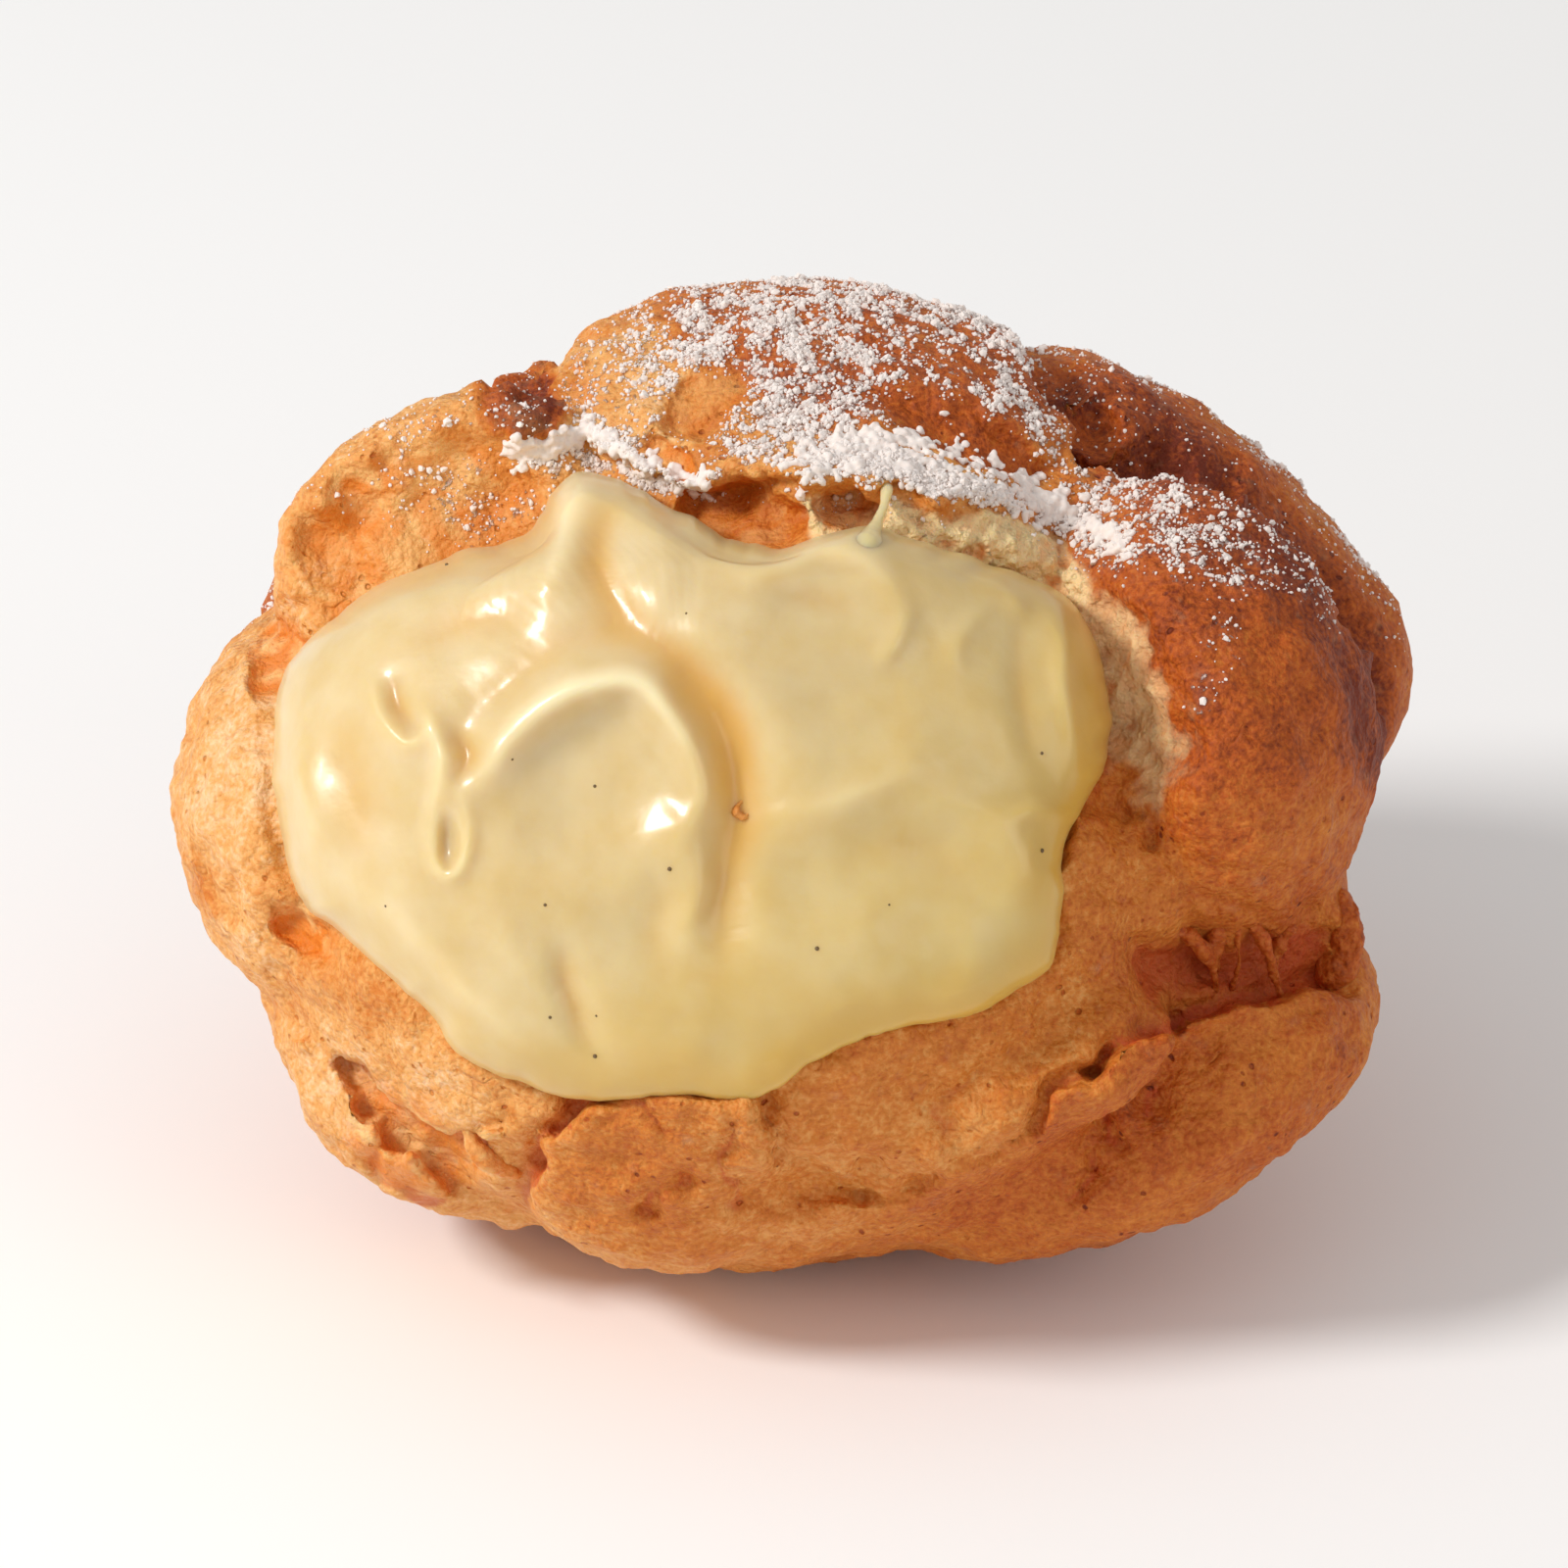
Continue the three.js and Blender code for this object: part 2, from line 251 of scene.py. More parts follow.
def rough(points, pitch, seed, octaves=3):
    """Smooth random numbers, from about -1 to 1, that change over about one pitch."""
    shift = Vector((seed * 17.3, seed * 5.1, seed * 9.7))
    near = (points / pitch).tolist()
    return np.array([noise.fractal(Vector(p) + shift, 1.0, 2.0, octaves) for p in near])


def on_oval(across, up, middle, half, turn=0):
    """0 at the middle of an oval on the face and 1 at its edge."""
    cosine, sine = math.cos(math.radians(turn)), math.sin(math.radians(turn))
    right, above = across - middle[0], up - middle[1]
    return np.hypot((right * cosine + above * sine) / half[0], (above * cosine - right * sine) / half[1])


# ---------------------------------------------------------------- baked choux shell: the torn mouth
# The front is torn open. Inside the mouth the crust is sunk under the cream, and between the mouth and
# the tear a band of soft crumb slopes from the baked crust down to the cream.
MOUTH = curve_through(
    [
        (-13.6, 20.5), (-11.3, 19.4), (-8.6, 17.7), (-5.0, 15.7), (-0.7, 14.8), (3.0, 16.3),
        (7.0, 16.0), (10.0, 14.8), (14.7, 13.5), (18.7, 11.3), (20.6, 5.5), (20.5, 1.0),
        (17.6, -3.6), (17.2, -7.5), (17.5, -10.5), (14.2, -14.5), (10.0, -16.0), (5.5, -16.4),
        (1.0, -18.6), (-3.4, -21.2), (-7.6, -20.5), (-12.2, -21.3), (-17.5, -20.3), (-21.8, -18.7),
        (-25.2, -14.0), (-29.0, -11.0), (-32.8, -8.0), (-34.6, -2.6), (-34.8, 2.4), (-33.2, 7.8),
        (-30.0, 11.4), (-23.0, 14.6), (-19.8, 15.3), (-17.2, 15.8), (-16.2, 17.2), (-16.6, 19.2),
        (-15.2, 19.8),
    ],
    closed=True,
    steps=4,
)
TEAR = curve_through(
    [
        (-14.8, 23.7), (-11.5, 21.6), (-7.4, 19.9), (0.6, 19.7), (4.0, 19.2), (10.0, 18.4),
        (16.7, 17.6), (20.0, 14.6), (24.0, 10.3), (27.0, 4.9), (28.0, 1.6), (25.4, -3.8),
        (19.4, -2.8), (17.9, -4.5), (17.6, -7.2), (18.4, -10.5), (16.7, -13.8), (10.0, -16.6),
        (6.0, -16.9), (2.6, -18.8), (-1.4, -20.4), (-3.4, -21.8), (-7.4, -21.3), (-12.1, -22.0),
        (-18.2, -21.1), (-23.8, -17.8), (-27.8, -13.0), (-31.2, -11.6), (-34.9, -7.5), (-36.1, -2.5),
        (-36.6, 1.6), (-36.8, 6.9), (-34.9, 9.6), (-34.9, 13.6), (-32.2, 17.7), (-29.9, 22.7),
        (-26.2, 25.2), (-20.8, 24.4),
    ],
    closed=True,
    steps=4,
)
CREAM_FRONT = 32.0  # how far out the cream bulges
CREAM_FULLNESS = 2.5  # 2 is a round cushion, more is a flatter one with steeper sides
RIM_DROP = 0.6  # how far the cream's edge is below the crust, per mm of torn band
MOUTH_SINK = 3.0  # how far the crust goes down under the cream
BAND_HOLLOW = 0.7  # how hollow the slope from the tear down to the cream is

mouth_middle = MOUTH.mean(axis=0)
mouth_on_face = np.outer(MOUTH[:, 0], ACROSS) + np.outer(MOUTH[:, 1], UP)
mouth_crust = lobe_points(mouth_on_face, np.tile(OUT, (len(MOUTH), 1))) @ OUT
mouth_band, _, _ = near_line(MOUTH[:, 0], MOUTH[:, 1], TEAR, closed=True)
mouth_rim = mouth_crust - RIM_DROP * mouth_band
mouth_angle = np.arctan2(MOUTH[:, 1] - mouth_middle[1], MOUTH[:, 0] - mouth_middle[0])
mouth_reach = np.hypot(MOUTH[:, 0] - mouth_middle[0], MOUTH[:, 1] - mouth_middle[1])
by_angle = np.argsort(mouth_angle)


def round_mouth(across, up, values):
    """A value that is given round the mouth, at each place's own angle from the middle of the mouth."""
    angle = np.arctan2(up - mouth_middle[1], across - mouth_middle[0])
    return np.interp(angle, mouth_angle[by_angle], values[by_angle], period=2 * math.pi)


# ---------------------------------------------------------------- baked choux shell: relief
# Plates of crust lift off along torn lips, with gaps under them that are darkened as painted shade. Each lip
# is a line walked with the raised plate on the right: line, height at its two ends, how far it fades, and the
# gap's depth at its ends.
LIPS = {
    "right_skirt": (
        [(5.3, -29.1), (8.6, -27.6), (13.3, -25.4), (16.3, -23.9), (17.7, -21.9), (20.2, -19.7),
         (21.2, -18.5), (23.4, -17.2), (27.1, -16.8), (30.4, -15.8), (34.8, -14.5), (39.1, -15.0)],
        (1.2, 3.4), 7.0, (1.2, 5.5),
    ),
    "left_skirt": (
        [(-35.3, -16.5), (-33.0, -18.0), (-31.0, -20.0), (-29.5, -22.6), (-27.5, -24.6), (-24.9, -26.2),
         (-22.8, -29.9)],
        (1.6, 2.0), 6.0, (0.8, 2.8),
    ),
    "left_gap_lid": (
        [(-20.5, -25.0), (-22.5, -23.9), (-25.5, -22.2), (-28.0, -20.8), (-30.5, -19.4), (-33.0, -17.6)],
        (1.6, 0.8), 3.0, (3.0, 1.2),
    ),
    "front_plate": (
        [(-16.6, -31.5), (-17.4, -28.2), (-16.6, -25.6), (-15.0, -23.2), (-13.4, -21.3), (-11.0, -20.4),
         (-8.4, -20.5), (-5.6, -21.0), (-3.2, -21.6), (-2.2, -23.2), (-1.2, -25.2), (1.0, -27.2)],
        (2.1, 1.5), 6.0, (3.0, 1.4),
    ),
    "middle_flake": (
        [(-19.0, -29.6), (-21.2, -27.2), (-21.6, -25.0), (-20.4, -23.4), (-19.2, -23.6)],
        (1.6, 1.0), 2.0, (1.6, 1.2),
    ),
    "lid_edge": (
        [(20.0, 14.6), (16.7, 17.2), (12.7, 18.8), (10.0, 18.2), (7.3, 19.5), (4.0, 19.0), (0.6, 19.9),
         (-3.5, 19.4), (-7.4, 19.6), (-9.5, 20.9), (-11.5, 21.4), (-14.8, 23.5)],
        (1.0, 1.8), 3.0, (0.5, 1.8),
    ),
    "lower_right_patch": (
        [(16.8, -10.5), (17.3, -6.5), (19.0, -3.4), (21.4, -2.3), (23.4, -3.4), (24.7, -5.8), (26.1, -8.5)],
        (1.3, 0.5), 4.0, (0.8, 1.2),
    ),
    "band_edge": (
        [(-2.0, -23.4), (1.0, -25.6), (5.5, -26.0), (11.0, -25.6), (15.0, -23.0), (19.0, -18.6),
         (24.0, -15.0)],
        (-0.6, -1.4), 5.0, (-0.4, -1.6),
    ),
}

# Thin cracks, and creases between lobes: line, width, depth.
CRACKS = {
    "under_right_lobe": (
        [(22.0, -13.4), (25.5, -12.6), (29.0, -12.9), (33.0, -12.4), (37.5, -10.6)], 2.4, 4.2,
    ),
    "right_wall_flaw": ([(12.4, -18.6), (10.9, -20.9), (9.4, -22.0), (10.2, -24.0)], 0.6, 1.1),
    "skirt_crack_one": ([(20.6, -21.6), (21.2, -23.0), (21.8, -25.2)], 0.6, 1.6),
    "skirt_crack_two": ([(24.6, -20.4), (23.2, -22.8)], 0.6, 1.6),
    "skirt_crack_three": ([(20.6, -25.6), (19.6, -27.4), (18.2, -28.9)], 0.6, 1.6),
    "plate_crack": ([(-3.6, -22.4), (-5.0, -25.0), (-3.8, -27.6), (-5.2, -29.6)], 0.6, 1.5),
    "plate_flake": ([(-9.6, -30.4), (-9.8, -28.2), (-7.6, -26.8), (-6.4, -27.8)], 0.6, 1.4),
    "plate_top": ([(-13.6, -23.0), (-10.8, -22.2), (-8.0, -23.6)], 0.5, 1.1),
    "left_second_gap": ([(-28.6, -25.0), (-26.6, -28.0), (-23.6, -29.8)], 1.0, 2.2),
}

# Folds where one lobe swells over the next, also darkened as painted shade: a line with the nearer lobe on
# its right, and depth.
FOLDS = {
    "behind_right_lobe": (
        [(18.8, 20.8), (21.1, 21.7), (25.4, 21.7), (30.5, 19.5), (34.1, 17.0), (37.7, 12.6), (39.5, 9.7),
         (40.3, 6.1), (40.4, 3.0)],
        3.4,
    ),
    "behind_lid": ([(15.3, 30.4), (18.2, 27.7), (19.6, 24.2), (21.1, 22.0)], 3.0),
}

# Smooth hollows and swellings: middle, half sizes, turn in degrees, depth (negative swells), edge softness.
HOLLOWS = {
    "wing_inside": ((-25.2, 17.0), (9.8, 5.4), 32, 4.4, 0.6),
    "wing_pocket": ((-30.4, 18.0), (2.6, 4.6), -30, 1.8, 0.6),
    "left_notch": ((-35.2, 10.4), (3.2, 1.4), 25, 2.4, 0.5),
    "left_pocket": ((-34.6, 8.0), (2.6, 2.0), 35, 2.2, 0.5),
    "under_lid": ((-3.4, 17.6), (4.6, 2.5), -8, 4.5, 0.35),
    "under_lid_small": ((3.9, 17.9), (2.0, 1.7), 0, 4.0, 0.35),
    "base_pocket": ((1.5, -27.0), (5.4, 2.2), 8, 2.8, 0.6),
    "base_hole": ((4.4, -28.5), (1.7, 0.6), 5, 2.6, 0.5),
    "left_web": ((-33.0, -10.4), (2.8, 1.6), -45, 2.0, 0.5),
    "left_split": ((-39.2, -7.2), (1.3, 3.2), 28, 1.8, 0.5),
    "right_hollow": ((23.0, -1.0), (2.6, 3.4), -10, 1.6, 0.6),
    "lid_window_left": ((-5.8, 25.6), (3.4, 2.1), 35, 1.1, 0.35),
    "lid_window_right": ((11.3, 23.2), (6.6, 1.9), -24, 1.3, 0.35),
    "lid_window_slot": ((-8.7, 21.6), (2.9, 0.9), -32, 1.4, 0.4),
    "right_belly": ((31.0, 3.0), (7.0, 9.0), 0, -0.8, 0.9),
    "crease_hole_one": ((38.8, 6.6), (0.7, 1.1), 0, 1.6, 0.5),
    "crease_hole_two": ((21.4, 24.6), (1.8, 0.9), -20, 2.6, 0.5),
}


COARSE_RAGS = 2.6  # how long the jags of a torn line are
FINE_RAGS = 0.9
GAP_WIDTH = 1.5  # how wide the gap under a lip is
FULL_SHADE_DEPTH = 3.0  # how deep a gap is where its painted shade is full


def ragged(across, up, amount):
    """Places on the face shifted a little to and fro, so that smooth lines come out torn."""
    on_face = np.stack([across, up, np.zeros(len(across))], 1)
    coarse = np.stack([rough(on_face, COARSE_RAGS, 1), rough(on_face, COARSE_RAGS, 2)])
    fine = np.stack([rough(on_face, FINE_RAGS, 5, 2), rough(on_face, FINE_RAGS, 6, 2)])
    shifted = np.stack([across, up]) + (coarse + fine * 0.3) * amount
    return shifted[0], shifted[1]


def between_ends(along, fade):
    """1 along a line, falling to 0 over a share of its length at each end."""
    return smooth_step(0.0, fade, along) * smooth_step(1.0, 1.0 - fade, along)


def on_front(out):
    """1 over the front of the puff and 0 over its back, which has no lips or gaps."""
    return smooth_step(-6, 4, out)


def relief(across, up):
    """How far lips, cracks and hollows move the crust out, and the painted shade each place gets deep in a
    gap.
    """
    raised = np.zeros(len(across))
    gap_shade = np.zeros(len(across))
    for line, heights, fade, depths in LIPS.values():
        gap, along, side = near_line(across, up, curve_through(line))
        ends = between_ends(along, 0.1)
        lip = (heights[0] + (heights[1] - heights[0]) * along) * np.exp(-gap / fade)
        cut = (depths[0] + (depths[1] - depths[0]) * along**1.6) * np.exp(-((gap / GAP_WIDTH) ** 2))
        raised += np.where(side > 0, lip, -cut) * ends
        gap_shade = np.maximum(gap_shade, np.where(side > 0, 0, cut / FULL_SHADE_DEPTH) * ends)
    for line, width, depth in CRACKS.values():
        gap, along, _ = near_line(across, up, curve_through(line))
        cut = depth * np.exp(-((gap / width) ** 2)) * between_ends(along, 0.15)
        raised -= cut
        gap_shade = np.maximum(gap_shade, cut / (0.8 + 0.6 * depth))
    for middle, half, turn, depth, softness in HOLLOWS.values():
        inside = smooth_step(1.0 + softness / 2, 1.0 - softness, on_oval(across, up, middle, half, turn))
        raised -= depth * inside
    return raised, np.clip(gap_shade, 0, 1)


def vertex_array(mesh):
    places = np.zeros(len(mesh.vertices) * 3)
    mesh.vertices.foreach_get("co", places)
    return places.reshape(-1, 3)


def set_vertices(mesh, places):
    mesh.vertices.foreach_set("co", places.ravel())
    mesh.update()


def vertex_normals(mesh):
    normals = np.zeros(len(mesh.vertices) * 3)
    mesh.vertex_normals.foreach_get("vector", normals)
    return normals.reshape(-1, 3)


def apply_modifier(piece, kind, **settings):
    step = piece.modifiers.new(kind.lower(), kind)
    for name, value in settings.items():
        setattr(step, name, value)
    bpy.context.view_layer.update()
    result = bpy.data.meshes.new_from_object(piece.evaluated_get(bpy.context.evaluated_depsgraph_get()))
    result.name = piece.data.name
    piece.modifiers.clear()
    piece.data = result


CRUST_DETAIL = 8
CRUST_VOXEL = 0.42
BACK_STARTS = -2.0  # behind this, the crust keeps fewer faces
FACES_KEPT = 0.64

ball = bmesh.new()
bmesh.ops.create_icosphere(ball, subdivisions=CRUST_DETAIL, radius=1.0)
shell_mesh = bpy.data.meshes.new("choux_crust")
ball.to_mesh(shell_mesh)
ball.free()
directions = vertex_array(shell_mesh)
directions /= np.linalg.norm(directions, axis=1)[:, None]
points = lobe_points(np.zeros((len(directions), 3)), directions)

across, up, out = face_places(points)
raised, _ = relief(*ragged(across, up, 1.0))
out = out + raised * on_front(out)

torn_across, torn_up = ragged(across, up, 0.4)
to_mouth, _, _ = near_line(torn_across, torn_up, MOUTH, closed=True)
to_tear, _, _ = near_line(torn_across, torn_up, TEAR, closed=True)
in_mouth = inside_line(torn_across, torn_up, MOUTH)
in_tear = inside_line(torn_across, torn_up, TEAR) & (out > 0)
rim = round_mouth(across, up, mouth_rim)
band = to_mouth / np.maximum(to_mouth + to_tear, 1e-6)
slope = rim + (out - rim) * band**1.2 - BAND_HOLLOW * np.sin(band * math.pi)
level = np.where(in_mouth, rim - MOUTH_SINK * smooth_step(0.6, 2.6, to_mouth), slope)
out = np.where(in_tear | (in_mouth & (out > 0)), np.minimum(level, out), out)
points = np.outer(across, ACROSS) + np.outer(up, UP) + np.outer(out, OUT)
points[:, 2] = np.maximum(points[:, 2], BASE)
set_vertices(shell_mesh, points * MM + np.array(MIDDLE))

shell = bpy.data.objects.new("choux_crust", shell_mesh)
scene.collection.objects.link(shell)
apply_modifier(shell, "REMESH", mode="VOXEL", voxel_size=CRUST_VOXEL * MM, use_smooth_shade=True)
_, _, out = face_places((vertex_array(shell.data) - np.array(MIDDLE)) / MM)
back_group = shell.vertex_groups.new(name="back")
back_group.add(np.flatnonzero(out < BACK_STARTS).tolist(), 1.0, "REPLACE")
apply_modifier(shell, "DECIMATE", ratio=FACES_KEPT, vertex_group="back", vertex_group_factor=4.0)
shell_mesh = shell.data
points = (vertex_array(shell_mesh) - np.array(MIDDLE)) / MM
across, up, out = face_places(points)
torn_across, torn_up = ragged(across, up, 1.0)
_, gap_shade = relief(torn_across, torn_up)
front = on_front(out)
in_tear = inside_line(*ragged(across, up, 0.4), TEAR) & (out > 0)
flat_base = smooth_step(BASE + 0.3, BASE + 2.0, points[:, 2])


# Where the torn band shows pale porous crumb; elsewhere thin crust runs down to the cream:
# (middle, half sizes, turn, strength).
CRUMBY = {
    "top_band": ((12.0, 15.4), (10.5, 3.2), -20, 1.0),
    "pillar": ((1.4, 17.8), (1.3, 2.4), 0, 1.0),
    "right_band": ((22.8, 8.0), (5.8, 9.0), 12, 0.66),
    "right_streak": ((25.0, -0.6), (2.2, 4.6), -14, 0.5),
    "low_rim": ((17.4, -9.0), (1.6, 4.6), 6, 0.7),
    "low_pale": ((19.6, -11.4), (3.4, 2.0), -10, 0.6),
    "left_rim": ((-36.0, 0.0), (1.6, 6.0), 0, 0.3),
}


def crumbiness(across, up):
    crumb = np.zeros(len(across))
    for middle, half, turn, strength in CRUMBY.values():
        crumb = np.maximum(crumb, strength * smooth_step(1.25, 0.6, on_oval(across, up, middle, half, turn)))
    return crumb


BUBBLE_PITCH = 2.2
BUBBLE_DEPTH = 0.9


def crumb_cells(points, inside, pitch):
    """Torn bubbles of the crumb: 0 on the thin walls between them and up to 1 in the middle of a bubble."""
    depth = np.zeros(len(points))
    for i in np.flatnonzero(inside):
        (first, second, *_), (middle, *_) = noise.voronoi(Vector(points[i] / pitch))
        share = min(max((second - first) / 0.35, 0.0), 1.0)
        depth[i] = share * (0.55 + 0.45 * noise.noise(middle * 3.7))
    return depth


to_tear, _, _ = near_line(torn_across, torn_up, TEAR, closed=True)
crumb_fade = 1.2 + 1.8 * smooth_step(14, 6, torn_up)
crumb = crumbiness(torn_across, torn_up) * in_tear * smooth_step(0.0, 1.0, to_tear / crumb_fade)
pits = crumb_cells(points + rough(points, 1.5, 31)[:, None] * 0.6, crumb > 0.02, BUBBLE_PITCH) * crumb
terraces = rough(points, 3.2, 8) * 3.0
terraces = (np.floor(terraces) + smooth_step(0.3, 0.7, terraces % 1)) / 3.0
crumple = rough(points, 5.0, 3) * 0.5 + rough(points, 1.5, 4) * (0.16 + 0.45 * crumb) + terraces * 0.25
crumple -= pits * BUBBLE_DEPTH
chunk = smooth_step(1.4, 0.7, on_oval(across, up, (-18.3, 26.0), (3.6, 3.2))) * smooth_step(16, 10, out)
crumple += chunk * rough(points, 1.7, 9) * 1.2
folded = np.zeros(len(points))
for line, depth in FOLDS.values():
    from_fold, along, side = near_line(torn_across, torn_up, curve_through(line))
    fold = np.exp(-((from_fold / np.where(side > 0, 0.7, 1.5)) ** 2)) * between_ends(along, 0.1) * front
    crumple -= depth * fold
    folded = np.maximum(folded, fold)
points += vertex_normals(shell_mesh) * (crumple * flat_base)[:, None]
set_vertices(shell_mesh, points * MM + np.array(MIDDLE))
shell_mesh.polygons.foreach_set("use_smooth", np.ones(len(shell_mesh.polygons), bool))


def paint(mesh, name, values):
    """Keep one number for each vertex, for a material to read."""
    layer = mesh.attributes.new(name, "FLOAT", "POINT")
    layer.data.foreach_set("value", np.asarray(values, np.float32))


# How brown the oven made each place (0 pale, 1 dark); under_lid and left_split instead darken hollows as
# painted
# shade: (middle, half sizes, turn, value, softness).
BROWNING = {
    "right_lobe": ((30, 6), (13, 17), 20, 0.82, 0.6),
    "right_lobe_low": ((31, -6), (9, 7), 0, 0.66, 0.6),
    "back_right": ((30, 20), (15, 6), -38, 0.9, 0.5),
    "back_right_end": ((40, 5), (3, 8), 8, 0.95, 0.5),
    "right_skirt": ((25, -24), (19, 9), 24, 0.66, 0.5),
    "lower_band": ((9, -22), (14, 4.5), 22, 0.44, 0.5),
    "patch": ((21, -7), (6, 5), 0, 0.52, 0.5),
    "front_plate": ((-9.5, -26.5), (8, 6.5), 0, 0.5, 0.4),
    "lid_top": ((4, 28), (17, 7), -6, 0.74, 0.5),
    "lid_front": ((2, 21), (17, 4), -6, 0.4, 0.6),
    "lid_left": ((-11, 26), (5, 6), 0, 0.24, 0.6),
    # painted shade: darker under the lid's overhang
    "under_lid": ((-3.4, 17.8), (5.0, 2.6), -8, 0.57, 0.4),
    "window_left": ((-5.8, 25.6), (3.4, 2.1), 35, 0.58, 0.3),
    "window_right": ((11.3, 23.2), (6.6, 1.9), -24, 0.77, 0.3),
    "back_crumb": ((-18.5, 25.6), (3.4, 2.4), 0, 0.95, 0.4),
    "wing_rim": ((-27, 22.5), (9, 3), 30, 0.3, 0.6),
    "right_hollow": ((22.8, -1.0), (2.8, 3.6), -10, 0.56, 0.5),
    # painted shade: darker in the split
    "left_split": ((-39.3, -7.6), (1.6, 3.0), 28, 0.62, 0.6),
    "left_wall": ((-37, 0), (5, 13), 0, 0.18, 0.6),
    "lower_left": ((-28, -15), (10, 6), -42, 0.38, 0.5),
    "left_skirt": ((-28, -24), (10, 7), -40, 0.2, 0.5),
}

# Painted glow: thin webs of dough and a few hollows, painted orange as if light shone through them:
# (middle, half sizes, turn, strength).
GLOWING = {
    "wing_inside": ((-25.5, 17.5), (11, 6), 32, 0.55),
    "wing_deep": ((-30.2, 18.2), (2.6, 4.6), -30, 0.9),
    "wing_low": ((-29.4, 12.4), (3.0, 2.6), 35, 0.8),
    "left_pocket": ((-35.0, 8.0), (2.8, 2.2), 35, 1.0),
    "left_web": ((-33.0, -10.4), (3.0, 1.8), -45, 1.0),
    "left_gap": ((-26.4, -24.4), (5.6, 3.6), -38, 0.75),
    "under_lid": ((-3.4, 17.8), (5.2, 2.8), -8, 0.3),
    "under_lid_small": ((3.9, 17.9), (2.4, 2.0), 0, 0.4),
    "lid_window_left": ((-5.8, 25.6), (3.4, 2.1), 35, 0.3),
    "lid_window_slot": ((-8.7, 21.6), (2.9, 0.9), -32, 0.9),
    "small_flake": ((-21.2, -25.4), (1.6, 1.8), 0, 0.7),
    "lid_left_edge": ((-14.0, 28.0), (1.4, 4.0), 0, 0.5),
}

# How thickly icing sugar fell: (middle, half sizes, turn, amount).
SUGARED = {
    "lid": ((4, 27.6), (16.5, 8.6), -8, 0.8),
    "lid_left": ((-10.5, 26.0), (5.5, 6.0), 0, 0.36),
    "lid_middle": ((-1.0, 24.6), (3.6, 2.2), -40, 0.9),
    "lid_shoulder": ((17, 20), (9, 3.4), -38, 0.75),
    "lid_rim": ((9, 20.2), (10, 1.6), -14, 1.0),
    "lid_rim_left": ((-10.5, 21.4), (6.5, 1.5), -22, 1.0),
    "peak_left": ((-17.2, 22.0), (3.0, 2.2), 0, 0.75),
    "wing": ((-22.5, 22), (9, 3.8), 10, 0.32),
    "wing_low": ((-20.5, 16.8), (4.5, 4), 10, 0.3),
    "wing_edge": ((-31, 20), (4, 4), -30, 0.08),
    "back_crumb": ((-18.5, 26), (3, 2), 0, 0.1),
    "right_lobe": ((25.0, 18.0), (9.2, 3.6), -34, 0.52),
    "right_lobe_side": ((34, 14.4), (5.0, 2.4), -48, 0.24),
    "right_lobe_low": ((28.0, 7.5), (1.6, 3.6), -20, 0.22),
    "back_right": ((28, 23.0), (13, 3.0), -32, 0.1),
    "window_left": ((-5.8, 25.6), (3.6, 2.3), 35, -1.0),
    "window_right": ((11.3, 23.2), (7.6, 2.6), -24, -1.0),
    "window_slot": ((-8.7, 21.6), (2.7, 0.8), -32, -1.0),
    "lid_bare": ((9.0, 28.8), (5.4, 2.4), -20, -0.5),
}


def browning(across, up, out):
    """Brown all over: ovals in front, two of them painted shade, and an even golden brown at the back and
    underneath.
    """
    brown = 0.3 + 0.25 * smooth_step(-30, 25, across)
    for middle, half, turn, value, softness in BROWNING.values():
        share = smooth_step(1.0 + softness / 2, 1.0 - softness, on_oval(across, up, middle, half, turn))
        brown = brown + (value - brown) * share
    behind = smooth_step(2, -8, out)
    return brown + (0.62 - brown) * behind


def glowing(across, up, out):
    glow = np.zeros(len(across))
    for middle, half, turn, strength in GLOWING.values():
        glow = np.maximum(glow, strength * smooth_step(1.15, 0.6, on_oval(across, up, middle, half, turn)))
    return glow * smooth_step(-6, 2, out)


def sugared(across, up, out, facing_up):
    """Sugar falls from above, so it lies only where the crust faces up; the back of the lid is dusted too."""
    sugar = np.zeros(len(across))
    bare = np.zeros(len(across))
    for middle, half, turn, amount in SUGARED.values():
        share = smooth_step(1.25, 0.55, on_oval(across, up, middle, half, turn))
        sugar = np.maximum(sugar, amount * share)
        bare = np.maximum(bare, -amount * share)
    behind = 0.42 * smooth_step(0, -12, out) * smooth_step(0.1, 0.8, facing_up)
    sugar = np.where(out < 2, np.maximum(sugar * smooth_step(-14, 0, out), behind), sugar)
    return sugar * (1 - bare) * smooth_step(0.0, 0.35, facing_up)


normals = vertex_normals(shell_mesh)
clumping = smooth_step(-0.12, 0.2, rough(points, 2.4, 21) * 0.4 + rough(points, 0.9, 23) * 0.6)
sugar_amount = sugared(torn_across, torn_up, out, normals[:, 2])
sugar_amount *= 0.2 + 0.8 * np.maximum(clumping, smooth_step(0.75, 1.0, sugar_amount))
sugar_amount *= 1 - 0.9 * folded
baked = browning(torn_across, torn_up, out)
# painted shade: how far down in a gap or crack each vertex lies, for the material to darken
paint(shell_mesh, "gap", gap_shade * front)
paint(shell_mesh, "crumb", crumb)
# painted shade: how deep in a torn crumb bubble each vertex lies, for the crumb's colour to darken
paint(shell_mesh, "pit", pits)
# painted shade: the brown paint is pushed to full in the folds between lobes, on top of the oven's browning
paint(shell_mesh, "brown", baked + (1.0 - baked) * folded)
# painted glow: orange where thin dough or a hollow is painted as if light shone through it
paint(shell_mesh, "glow", glowing(torn_across, torn_up, out))
paint(shell_mesh, "sugar", sugar_amount)


